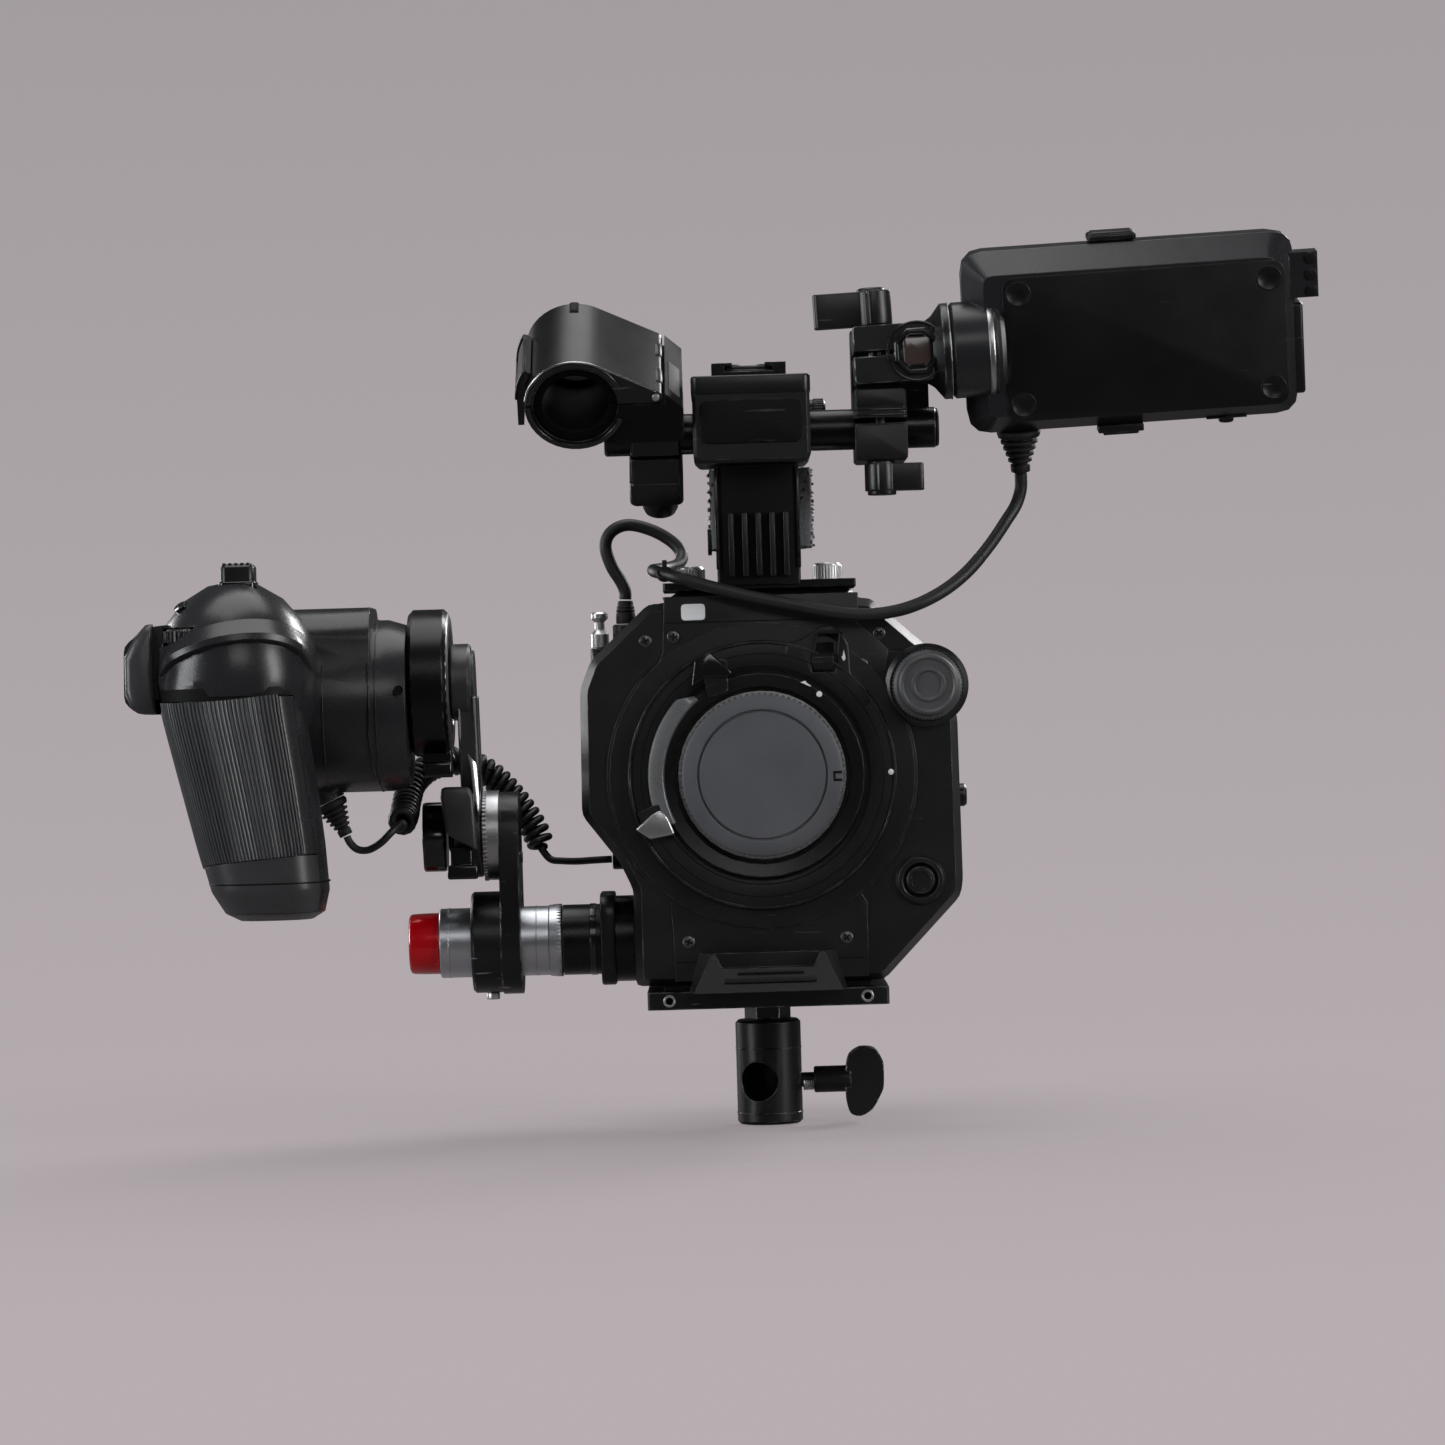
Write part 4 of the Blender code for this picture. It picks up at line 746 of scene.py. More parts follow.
def screws(name, places, axis, out, radius, body, sides=0):
    """Screw heads at (u, v, face), each with a near-black cross or hex on top as painted shade of its recess.
    """
    heads, holes = [], []
    for i, (u, v, face) in enumerate(places):
        profile = [(0, face - out * 0.3), (radius, face - out * 0.3), (radius, face + out * 0.28),
                   (radius - 0.35, face + out * 0.5), (0, face + out * 0.5)]
        heads.append(lathe(profile, axis, (u, v), 24))
        if sides:
            hole = circle(radius * 0.5, (u, v), sides, 15)
        else:
            hole = cross((u, v), radius * 0.62, radius * 0.17, 0.4 + i)
        holes.append(prism(hole, axis, *sorted((face + out * 0.2, face + out * 0.54))))
    piece(name, heads, "screw", body)
    # painted shade: each recess is a near-black prism standing on its head, not a cut hole
    piece(name + "_painted_recess_shade", holes, "dark", body)


# ---------------------------------------------------------------- front of the camera

def build_front_detail():
    left = circle(61.0, LENS, 24, 139.5, 73.5)
    right = circle(61.0, LENS, 24, -51.6, 87.2)
    spine = [(-36.6, 213.6), (-37.1, 204.0), (-37.8, 191.8), (-39.7, 187.5), (-45.7, 182.1)] + left + [
        (-51.2, 108.6), (-44.6, 101.1), (-37.5, 93.8), (-36.7, 82.0), (-36.4, 63.0), (39.6, 63.0),
        (39.9, 92.0)] + right + [(50.8, 190.9), (39.1, 201.6), (39.5, 213.6)]
    piece("front_spine", prism(spine, "Y", -80.45, -79.9), "body", "camera", bevel=0.3)
    seams = [block((-36.6, 39.0), (-80.5, -80.2), (203.3, 203.75)),
        block((-36.2, 39.4), (-80.5, -80.2), (70.2, 70.6)),
        block((51.4, 72.4), (-80.06, -79.9), (190.5, 190.9))]
    piece("front_seams", seams, "dark", "camera")
    inner = circle(42.5, LENS, 20, 27, 52)
    rim = [(43.6, 171.5), (39.0, 176.8), (35.7, 182.4), (35.3, 192.9), (32.6, 198.4), (29.0, 200.8),
        (24.3, 200.6), (18.0, 196.4), (11.0, 193.6)]
    window = [(20.3, 182.3), (29.7, 182.3), (31.6, 197.4), (23.4, 197.4)]
    piece("release_surround", recessed(rim + list(reversed(inner)), window, "Y", -83.9, -80.2, -80.5), "body",
          "camera", rounding=0.7)
    floor = [(20.5, 182.5), (29.5, 182.5), (31.4, 197.2), (23.5, 197.2)]
    piece("release_well", prism(floor, "Y", -80.75, -80.4), "dark", "camera")
    places = [(-44.4, 196.8, -80.0), (-33.4, 198.1, -80.45), (47.4, 197.3, -80.0), (40.2, 185.3, -80.45),
              (-30.7, 78.3, -80.45), (31.3, 78.5, -80.45)]
    screws("front_screws", places, "Y", -1, 2.4, "camera")
    button_ring = [(6.3, -79.9), (6.3, -80.6), (7.2, -81.9), (8.8, -81.9), (9.9, -80.5), (9.9, -79.9)]
    piece("button_ring", lathe(button_ring, "Y", ROUND_BUTTON), "satin", "camera")
    button = [(3.5, -81.8), (3.5, -82.05), (4.3, -82.05), (4.3, -81.8)]
    piece("button_groove", lathe(button, "Y", ROUND_BUTTON), "gloss", "wb_button")
    knob_seat = [(8.0, -79.9), (8.0, -82.0), (14.6, -82.0), (16.4, -80.6), (16.4, -79.9)]
    piece("filter_knob_seat", lathe(knob_seat, "Y", FILTER_KNOB), "satin", "camera")
    marks = [lathe([(0, -83.2), (1.15, -83.2), (1.15, -84.15), (0.9, -84.3), (0, -84.3)], "Y", (50.3, 142.8),
        24)]
    marks.append(prism([(33.0, 186.6), (33.9, 187.6), (33.3, 191.2), (32.7, 188.6), (32.2, 188.4)], "Y",
        -84.05, -83.8))
    piece("index_marks", marks, "white", "camera")
    turning = [lathe([(0, -87.2), (1.15, -87.2), (1.15, -88.75), (0.9, -88.85), (0, -88.85)], "Y",
        (23.1, 174.0), 24)]
    turning.append(prism([(15.8, 178.8), (19.8, 176.9), (19.9, 177.4), (18.0, 178.8), (18.0, 179.4)], "Y",
        -88.8, -88.4))
    piece("lock_marks", turning, "white", "lock_lever")


def build_lens_mount_detail():
    lines = [lathe([(r - 0.22, y + 0.3), (r - 0.22, y - 0.04), (r + 0.22, y - 0.04), (r + 0.22, y + 0.3)],
        "Y", LENS, 96) for r, y in ((42.7, -84.55), (47.6, -84.0))]
    piece("mount_lines", lines, "dark", "camera")
    edge = lathe([(51.2, -83.3), (51.6, -84.1), (52.4, -84.1), (52.9, -83.2), (52.9, -82.4), (51.2, -82.4)],
        "Y", LENS, 128)
    piece("mount_edge", edge, "satin", "camera")
    rings = []
    steps = 28
    for i in range(steps + 1):
        turn = math.radians(129 + 78 * i / steps)
        grow = min(1.0, i / 3, (steps - i) / 3 + 0.3)
        section = [(38.3, -88.5), (38.9, -89.5), (39.6, -89.6), (40.5 + 3.9 * grow, -87.6),
            (40.6 + 4.2 * grow, -86.6), (38.3, -86.4)]
        rings.append([(r * math.cos(turn), y, LENS[1] + r * math.sin(turn)) for r, y in section])
    piece("lever_crescent", loft(rings), "crescent", "lock_lever")
    low = [(-50.2, 123.2), (-44.4, 119.1), (-34.6, 120.9), (-37.3, 127.4), (-40.2, 130.6), (-43.4, 129.0)]
    piece("lever_tab", prism(low, "Y", -89.7, -87.2), "silver_plate", "lock_lever", rounding=0.9)
    upper = [(-25.4, 188.2), (-19.0, 191.6), (-10.6, 183.4), (-12.8, 181.2), (-20.6, 182.0), (-26.8, 178.0)]
    piece("lever_upper_tab", prism(upper, "Y", -89.5, -87.2), "gloss", "lock_lever", rounding=0.7)


def build_cap():
    face = [(0, -93.0), (24.5, -93.0), (24.8, -92.1), (25.3, -92.1), (25.7, -93.1), (30.4, -93.0),
        (31.4, -92.4), (31.4, -86.0), (30.6, -84.5), (22.4, -84.5), (22.4, -78.6), (0, -78.6)]
    knurl = prism(gear(32.2, 0.75, 84, LENS), "Y", -91.9, -86.4)
    mark = prism([(27.6, 143.9), (31.0, 143.9), (31.0, 142.9), (28.4, 142.9), (28.4, 140.9), (31.0, 140.9),
        (31.0, 139.9), (27.6, 139.9)], "Y", -93.12, -92.8)
    piece("lens_cap", [lathe(face, "Y", LENS, 128), knurl], "cap", "body_cap", replaces=["body_cap"])
    piece("lens_cap_mark", mark, "dark", "body_cap")


def build_filter_knob():
    core = [(0, -96.2), (5.0, -96.2), (5.5, -96.9), (6.3, -96.9), (6.8, -96.2), (9.6, -96.2), (10.6, -97.0),
        (11.6, -96.4), (12.2, -91.2), (13.2, -90.6), (13.2, -81.8), (3.0, -81.5), (3.0, -72.2), (0, -72.2)]
    parts = [lathe(core, "Y", FILTER_KNOB, 72), prism(gear(13.8, 0.5, 60, FILTER_KNOB), "Y", -90.3, -83.6)]
    piece("filter_knob", parts, "knob", "nd_knob", replaces=["nd_knob"])


def build_plate_detail():
    holes = [lathe([(1.5, -74.9), (1.5, -75.3), (2.3, -75.3), (2.6, -74.9)], "Y", p, 24)
             for p in ((-39.0, 55.0), (39.0, 55.0))]
    piece("plate_hole_rims", holes, "steel", "camera")
    pads = [block((-17.0, 19.0), (-97.2, -96.4), (62.6, 64.6)),
        block((-12.0, 14.0), (-96.6, -95.6), (66.2, 67.0))]
    piece("foot_pads", pads, "rubber", "camera", bevel=0.3)
    groove = [(13.0, 30.6), (13.5, 30.6), (13.5, 31.2), (13.0, 31.2)]
    low = [(13.0, 4.2), (13.5, 4.2), (13.5, 4.8), (13.0, 4.8)]
    piece("receiver_lines", [lathe(groove, "Z", (0, 0)), lathe(low, "Z", (0, 0))], "anodised", "camera")


def build_t_screw_thread():
    turns, steps, start, pitch, radius = 8, 18, 13.6, 1.0, 2.75
    path = []
    for i in range(turns * steps):
        turn = 2 * math.pi * i / steps
        path.append(Vector((start + i / steps * pitch, radius * math.cos(turn),
            16 + radius * math.sin(turn))))
    piece("t_screw_thread", pipe(path, 0.5, 6), "steel", "t_screw")


# ---------------------------------------------------------------- handle, shoe and strap

def build_handle_detail():
    cover = slab((-23.7, 22.9), (-95.5, -44.7), 3.4, "Z", 291.6, 299.0)
    piece("head_cover", cover, "satin", "camera", rounding=0.9)
    band = slab((-20.4, 19.6), (272.4, 289.4), 3, "Y", -95.7, -94.9)
    piece("head_front", band, "cradle", "camera", bevel=0.4)
    edges = [slab((x, x + 1.1), (224, 264), 0.5, "Y", -78.7, -77.9) for x in (-15.6, 16.6)]
    piece("post_edges", edges, "gloss", "camera", bevel=0.3)
    ribs = [block((x, x + 2.2), (-80.3, -77.8), (221.0, 246.0)) for x in (-10.6, -5.2, 0.2, 5.6, 11.0)]
    piece("post_ribs", ribs, "body", "camera", bevel=0.5)
    buckle = recessed(round_box((-49.8 - 20, -49.8), (230.6, 240.4), 2), round_box((-66, -54), (233, 238), 1),
        "X", -18.8, -17.2, -17.4)
    piece("strap_buckle", buckle, "satin", "camera", bevel=0.3)
    for side, name in ((-1, "thumbscrew_left"), (1, "thumbscrew_right")):
        centre = (1.1 + side * 27.3, -50.0)
        top = [(0, 225.6), (3.0, 225.6), (3.4, 226.3), (4.9, 226.3), (5.5, 225.6), (5.5, 217.2), (2.0, 217.2),
               (2.0, 216.8), (0, 216.8)]
        parts = [lathe(top, "Z", centre, 48), prism(gear(6.0, 0.55, 30, centre), "Z", 218.2, 225.2)]
        piece(name + "_knurl", parts, "steel", name, replaces=[name])
    tray = prism([(-15.3, 298.6), (13.0, 298.6), (12.3, 301.9), (-14.0, 301.9)], "Y", -85.0, -44.0)
    piece("shoe_tray", tray, "satin", "camera", bevel=0.5)
    lid = slab((-11.2, 9.6), (-84.4, -46.0), 2, "Z", 301.8, 303.4)
    piece("shoe_cover", lid, "worn_plate", "camera", bevel=0.5)
    screws("shoe_screws", [(-6.4, -82.0, 303.4), (4.6, -82.0, 303.4), (-0.9, -68.0, 303.4)], "Z", 1, 2.2,
        "camera")
    knob = [(0, 22.4), (4.4, 22.4), (4.4, 28.8), (3.6, 29.5), (0, 29.5)]
    parts = [lathe(knob, "X", (-52.0, 287.0), 40), prism(gear(4.8, 0.4, 26, (-52.0, 287.0)), "X", 24.6, 28.6)]
    piece("rod_lock_knob", parts, "satin", "camera")


STRAP_MIDDLE = (2.5, -59.0, 0)
STRAP_LOW = 232.4
STRAP_HEIGHT = 31.2
STRAP_LEVELS = 26
TUFTS = 1500
TUFT_LEAN = ((3.1, (0, 0, 0)), (2.3, (9, 0, 0)), (2.7, (0, 9, 0)))
TUFT_SPREAD = 0.7548777  # the plastic number's inverse, which spreads the tufts evenly up the band


def build_strap():
    """The hook-and-loop strap: a soft uneven band with loose pile on it."""
    corners = [Vector((x, y, 0)) for x, y in round_box((-17.3, 22.4), (-71.6, -46.2), 2.4, 4)]
    outline = spline(corners + corners[:1], 1.3)[:-1]
    outwards = [(point - Vector(STRAP_MIDDLE)).normalized() for point in outline]
    rings = []
    for level in range(STRAP_LEVELS + 1):
        up = Vector((0, 0, STRAP_LOW + STRAP_HEIGHT * level / STRAP_LEVELS))
        rings.append([])
        for point, out in zip(outline, outwards):
            here = point + up
            push = 0.5 * noise.noise(here * 0.2) + 0.35 * noise.noise(here * 0.7)
            sag = Vector((0, 0, 0.9 * noise.noise(here * 0.35)))
            rings[-1].append(here + out * push + sag)
    piece("strap_band", loft(rings), "fabric", "camera", replaces=["cable_strap"])
    tufts = []
    for i in range(TUFTS):
        k = (i * 7) % len(outline)
        base, out = outline[k] + Vector((0, 0, 233.0 + 30.4 * ((i * TUFT_SPREAD) % 1.0))), outwards[k]
        lean = Vector([noise.noise(base * scale + Vector(shift)) for scale, shift in TUFT_LEAN])
        tufts.append(pipe([base - out * 0.4, base + out * 0.5 + lean * 0.5, base + out * 0.9 + lean], 0.1, 3))
    piece("strap_pile", tufts, "fabric", "camera")


# ---------------------------------------------------------------- microphone holder

def build_mic_detail():
    for name, body, start in (("mic_liner_low", "mic_mount", 180), ("mic_liner_top", "mic_lid", 0)):
        parts = [prism(arc_band(15.6, 16.3, MIC_CENTRE, start + 1, 178), "Y", -19.8, 23.6)]
        for low, high in ((-19.8, -17.0), (19.6, 23.6)):
            parts.append(prism(arc_band(12.8, 16.3, MIC_CENTRE, start + 1, 178), "Y", low, high))
        # the liners' extra-dark rubber is partly painted shade in the bore
        piece(name, parts, "liner", body, bevel=0.3)
    lower = prism(arc_band(17.4, 19.4, MIC_CENTRE, 182, 158), "Y", -21.1, -20.3)
    piece("mic_rim_low", lower, "gloss", "mic_mount", bevel=0.35)
    tangent = circle(19.6, MIC_CENTRE, 24, 62, 110)
    edge = [(x, -20.6, z) for x, z in [(-37.0, 32.6)] + tangent]
    piece("mic_lid_edge", pipe(edge, 0.42, 8), "silver_edge", "mic_lid")
    piece("mic_rim_top", prism(arc_band(17.4, 19.4, MIC_CENTRE, 20, 158), "Y", -21.1, -20.3), "gloss",
        "mic_lid", bevel=0.35)
    pin = cylinder(1.5, -21.4, -20.2, "Y", MIC_HINGE, 20)
    piece("mic_hinge_pin", pin, "steel", "mic_mount", bevel=0.2)
    inset = prism([(-18.0, 12.0), (-6.0, 12.0), (-6.0, 23.0), (-18.0, 23.0)], "X", -27.1, -26.7)
    piece("mic_side_inset", inset, "gunmetal", "mic_mount", bevel=0.1)
    window = prism([(-32.4, 29.9), (-28.2, 25.8), (-27.9, 26.1), (-32.1, 30.3)], "Y", -15.0, 6.0)
    piece("mic_hinge_inset", window, "inset_grey", "mic_mount", bevel=0.2)
    mark = [block((-70.3, -66.7), (17.5, 24.2), (46.5, 47.1)),
        block((-69.7, -67.3), (18.3, 24.3), (46.6, 47.3))]
    piece("mic_lid_mark", mark, "dark", "mic_lid")
    barrel = [cylinder(3.0, y, y + 9.4, "Y", MIC_HINGE, 28) for y in (-13.0, 7.0)]
    piece("mic_hinge_barrels", barrel, "satin", "mic_lid", bevel=0.2)
    arc = circle(23.1, MIC_CENTRE, 14, 149, 31)
    bead = [(x, -14.2, z) for x, z in arc] + [(x, 14.2, z) for x, z in reversed(arc)]
    piece("mic_latch_bead", loop(bead, 0.5), "satin", "mic_latch")
    knob = [(0, -24.9), (7.1, -24.9), (7.3, -26.0), (7.0, -33.2), (6.2, -35.0), (4.4, -35.9), (0, -36.1)]
    shaft = cylinder(2.2, -14.2, -25.2, "Z", (MIC_HINGE[0], 0.0), 20)
    piece("mic_knob_round", [lathe(knob, "Z", (MIC_HINGE[0], 0.0), 56), shaft], "satin", "mic_clamp_knob",
        replaces=["mic_clamp_knob"])
    shoulder = slab((-49.0, -27.8), (-13.4, 13.4), 3, "Z", -24.9, -14.4)
    piece("mic_clamp_shoulder", shoulder, "satin", "mic_mount", rounding=1.0)


# ---------------------------------------------------------------- monitor and its arm

def wing_knob(hub, lobes, waist, z, shaft):
    """A hand knob with lobes at (bearing, reach, width), on an upright shaft."""
    outline = []
    for i in range(120):
        turn = 2 * math.pi * i / 120
        r = waist
        for bearing, reach, width in lobes:
            off = (turn - math.radians(bearing) + math.pi) % (2 * math.pi) - math.pi
            r = max(r, min(reach, width / max(abs(math.sin(off)), 1e-3)) if abs(off) < 1.2 else waist)
        outline.append((hub[0] + r * math.cos(turn), hub[1] + r * math.sin(turn)))
    return joined([prism(outline, "Z", *z), cylinder(2.4, shaft[0], shaft[1], "Z", hub, 20),
        lathe([(0, z[0] - 1.6), (5.6, z[0] - 1.6), (5.6, z[1] + 0.8), (4.6, z[1] + 1.4), (0, z[1] + 1.4)],
        "Z", hub, 36)])


def build_arm_detail():
    eight = lathe([(6.9, -13.0), (8.2, -14.7), (9.6, -14.0), (10.0, -12.05), (6.9, -12.05)], "Y", (0, 0), 8)
    turned = ARM_FRAME @ Matrix.Rotation(math.radians(22.5), 4, "Y")
    piece("bar_surround", eight, "gloss", "tilt_arm", at=turned, rounding=0.5)
    end = slab((-5.3, 5.3), (-5.3, 5.3), 1.6, "Y", -14.1, -13.3)
    piece("bar_end", end, "amber", "rod_clamp", at=ARM_FRAME, rounding=0.6)
    outer = hoop(10.9, 11.9, -12.5, -12.0, "Y", (0, 0), 64)
    piece("bar_ring", outer, "gloss", "tilt_arm", bevel=0.15)
    seam = hoop(18.2, 19.0, 13.05, 13.3, "X", (0, 0), 64)
    piece("drum_seam", seam, "steel", "monitor")
    rim = lathe([(14.4, 34.6), (15.0, 34.8), (19.1, 29.8), (19.1, 28.0), (14.4, 28.0)], "X", (0, 0), 72)
    piece("drum_bevel", rim, "silver_plate", "monitor", bevel=0.15)
    top = wing_knob((-16.0, 0.0), [(180, 23.0, 4.6), (62, 8.6, 5.0), (-62, 8.6, 5.0)], 6.4, (11.8, 25.2),
        (-8.0, 14.0))
    piece("bar_wing_knob", top, "satin", "bar_knob", rounding=0.8, replaces=["bar_knob"])
    low = wing_knob((50.0, -84.0), [(0, 16.6, 4.0), (150, 6.6, 4.4), (-150, 6.6, 4.4)], 5.6, (252.8, 263.4),
        (254.0, 284.0))
    piece("rod_wing_knob", low, "satin", "rod_knob", rounding=0.8, replaces=["rod_knob"])
    grooves = [block((39.8, 60.6), (-90.2, -89.8), (z, z + 0.7)) for z in (281.9, 284.0)]
    piece("clamp_lines", grooves, "gloss", "rod_clamp", bevel=0.15)
    cheek = [slab((39.9, 60.5), (265.2, 278.4), 1.6, "Y", -90.5, -89.9),
             slab((40.6, 59.8), (285.6, 292.4), 1.2, "Y", -90.5, -89.9)]
    piece("clamp_cheeks", cheek, "body", "rod_clamp", bevel=0.3)
    cap = [(0, 71.6), (7.0, 71.6), (7.6, 72.7), (7.0, 73.4), (0, 73.4)]
    piece("rod_end_cap", lathe(cap, "X", (-70.0, 278.0), 40), "rubber", "cross_rod")


def build_monitor_detail():
    panel = slab((34.4, 144.8), (-28.6, 28.6), 5, "Y", -8.35, -7.9)
    piece("monitor_panel", panel, "screen_back", "monitor", bevel=0.25)
    covers = []
    for x, z in ((40.6, 22.0), (138.4, 21.6), (138.8, -21.6), (40.8, -22.0)):
        covers.append(lathe([(0, -8.36), (4.3, -8.36), (4.5, -8.45), (4.8, -8.45), (5.0, -8.36), (5.0, -8.2),
            (0, -8.2)], "Y", (x, z), 40))
    piece("panel_covers", covers, "screen_back", "monitor")
    glass = slab((31.8, 140.0), (-25.8, 29.2), 1.5, "Y", 17.0, 17.6)
    piece("monitor_glass", glass, "glass", "monitor", bevel=0.2)
    latch = [block((70.0, 88.0), (-1.0, 6.0), (-37.0, -34.0)),
        block((72.0, 86.0), (-0.4, 5.4), (-38.0, -36.6))]
    piece("monitor_bottom_latch", latch, "satin", "monitor", bevel=0.5)
    dial = lathe([(0, -36.8), (2.6, -36.8), (3.0, -36.2), (3.0, -34.0), (0, -34.0)], "Z", (121.0, 5.0), 28)
    plate = block((113.0, 129.0), (2.0, 8.0), (-34.9, -34.0))
    piece("monitor_dial", [dial, plate], "satin", "monitor", bevel=0.2)
    hood = [block((71.0, 87.2), (4.4, 12.0), (41.0, 41.8))]
    piece("hood_latch_top", hood, "satin", "monitor", bevel=0.35)
    clip = [cylinder(2.4, -0.6, 7.6, "Y", (156.0, z), 24) for z in (14.0, 20.5, 27.0)]
    piece("clip_rolls", clip, "satin", "monitor", bevel=0.3)
    side = block((145.5, 152.6), (2.0, 16.5), (-27.0, 9.0))
    piece("monitor_side_band", side, "satin", "monitor", rounding=1.2)
    keys = [slab((x, x + 6), (-31.8, -29.2), 0.9, "Y", 18.3, 19.2) for x in range(44, 124, 10)]
    piece("monitor_keys", keys, "rubber", "monitor", bevel=0.3)
    corners = [(24.6, 32.6, 18.5), (145.4, 32.6, 18.5), (24.6, -29.4, 18.5), (145.4, -29.4, 18.5)]
    screws("bezel_screws", corners, "Y", 1, 1.5, "monitor")


def ribbed_boot(length, wide, narrow, ribs):
    """A strain relief along local Z: a taper with rings that are part cut through."""
    profile = [(0, 0.3), (wide, 0.3), (wide + 0.5, 1.6), (wide, 3.2)]
    step = (length - 5.0) / ribs
    for k in range(ribs):
        r = wide + (narrow - wide) * (k + 1) / ribs
        z = 3.2 + step * k
        profile += [(r * 0.80, z + step * 0.22), (r * 0.80, z + step * 0.42), (r, z + step * 0.55),
            (r, z + step)]
    return profile + [(narrow * 0.96, length), (0, length)]


def build_strain_reliefs():
    down = MONITOR_FRAME @ Matrix.Translation((39.2, 8.0, -34.4)) @ Matrix.Rotation(math.pi, 4, "X")
    piece("monitor_strain_relief", lathe(ribbed_boot(17.4, 8.2, 3.9, 5), "Z", (0, 0), 48), "rubber",
        "monitor", at=down, bevel=0.15, replaces=["monitor_gland"])
    piece("grip_strain_relief", lathe(ribbed_boot(15.0, 6.2, 2.8, 5), "Z", (0, 0), 40), "rubber", "grip",
          at=BOOT_FRAME, bevel=0.15, replaces=["grip_boot"])
    plug = [(0, 205.0), (3.9, 205.0), (3.9, 209.0), (3.5, 209.6), (3.9, 210.2), (3.5, 210.9), (3.6, 211.6),
            (3.2, 212.2), (3.2, 213.0), (2.9, 214.2), (0, 214.2)]
    piece("monitor_cable_plug", lathe(plug, "Z", (-52.8, -25.0), 40), "rubber", "camera",
        replaces=["monitor_plug"])
    band = prism(arc_band(2.5, 3.1, (0, 0), 0, 359.9, 32), "Z", -1.3, 1.3)
    tie_at = Matrix.Translation((-36.0, -80.6, 222.8)) @ Matrix.Rotation(math.radians(52), 4, "X")
    ends = [block((-0.9, 0.9), (2.2, 6.2), (-1.3, 1.3))]
    piece("cable_tie", [band] + ends, "rubber", "camera", at=tie_at, bevel=0.2)


# ---------------------------------------------------------------- side arm and grip

def build_side_arm_detail():
    rings = [hoop(13.6, 14.08, x, x + 0.5, "X", TUBE) for x in (-127.0, -92.0)]
    piece("tube_lines", rings, "alu", "side_tube")
    outline = []
    for r, x, tooth in ((13.8, -87.0, 0), (14.2, -86.6, 0), (14.55, -83.6, 2.0), (13.8, -83.6, 2.0)):
        around = enumerate(circle(r, TUBE, 2 * TUBE_TEETH))
        outline.append([(x + (tooth if i % 2 else 0), y, z) for i, (y, z) in around])
    piece("tube_teeth", loft(outline, closed=True), "alu", "side_tube")
    red = [(0, -142.8), (10.6, -142.8), (11.6, -142.3), (12.0, -141.2), (12.2, -136.0), (12.25, -130.8),
        (0, -130.8)]
    piece("red_cap", lathe(red, "X", TUBE, 96), "red", "tube_cap", replaces=["tube_cap"])
    bolts = [(-44.0, 112.0, -97.6), (-26.0, 112.0, -97.6), (-35.0, 96.0, -97.6)]
    screws("link_bolts", bolts, "X", 1, 2.6, "link_plate", sides=6)
    pinch = cylinder(2.6, 55.6, 58.4, "Z", (-110.0, -35.0), 24)
    piece("pinch_bolt", pinch, "steel", "link_plate", bevel=0.2)
    parts = [lathe([(17.2, -110.6), (17.9, -110.6), (18.0, -105.4), (17.2, -105.4)], "X", ROSETTE, 72),
             prism(gear(18.2, 1.0, 60, ROSETTE), "X", -111.9, -110.4)]
    piece("rosette", parts, "silver_plate", "link_plate")
    lobes = []
    for i in range(96):
        turn = 2 * math.pi * i / 96
        r = 14.3 + 0.8 * math.cos(6 * turn)
        lobes.append((ROSETTE[0] + r * math.cos(turn), ROSETTE[1] + r * math.sin(turn)))
    shaft = lathe([(0, -126), (6.4, -126), (6.4, -123.8), (4.0, -123.8), (4.0, -101.8), (0, -101.8)], "X",
        ROSETTE, 32)
    piece("star_knob", [prism(lobes, "X", -136.0, -126.8), shaft], "gloss", "arm_knob", rounding=1.0,
        replaces=["arm_knob"])
    lever = [block((-125.6, -113.6), (-60.5, -52.0), (104.8, 110.4)),
        block((-124.6, -116.0), (-54.0, -50.0), (106, 118))]
    piece("rosette_lever", lever, "gloss", "swing_arm", rounding=0.9)
    steps = [lathe([(20.6, -122.9), (22.0, -122.2), (26.4, -122.2), (27.8, -123.0), (27.8, -124.0),
        (20.6, -124.0)], "X", DISC, 96)]
    piece("disc_rings", steps, "silver_plate", "grip_disc", bevel=0.2)
    catch = block((-133.6, -122.0), (-71.5, -61.5), (145.6, 151.8))
    piece("disc_catch", catch, "gloss", "grip_disc", rounding=1.2)
    web = [(-127.5, 137.5), (-127, 141.5), (-116.5, 141.5), (-114.5, 138), (-113.5, 116), (-125.5, 123)]
    piece("arm_web", prism(web, "Y", -64.5, -52.5), "cast", "swing_arm", rounding=1.4)
    flank = [(-117.6, 160.0), (-114.8, 163.1), (-112.5, 149.6), (-112.2, 138.0), (-112.6, 130.4),
        (-114.3, 136.2), (-115.5, 149.7)]
    wedge = prism(flank, "Y", -61.0, -46.0)
    for v in wedge.verts:
        if v.co.y < -50:
            v.co.y += (v.co.x + 117.6) * 0.577 + (v.co.z - 145.0) * 0.12
    piece("arm_flank", wedge, "silver_edge", "swing_arm", bevel=0.3)
    edge = []
    for face in (-119.05, -112.85):
        for side in (-1, 1):
            low = Vector((face, ROSETTE[0] + side * 12.2, ROSETTE[1] + 6.0))
            high = Vector((face, DISC[0] + side * 11.8, DISC[1] - 6.0))
            edge.append(pipe([low, high], 0.75, 8))
    piece("arm_edges", edge, "silver_edge", "swing_arm")
    barrel = lathe([(13.9, -70.5), (14.4, -70.2), (14.4, -68.0), (13.9, -67.7)], "X", TUBE)
    piece("barrel_ring", barrel, "gloss", "camera")
    collar = [slab((-54.0, -16.0), (60.6, 97.4), 9, "X", -65.9, -60.0)]
    piece("flange_collar", collar, "satin", "camera", bevel=0.8)


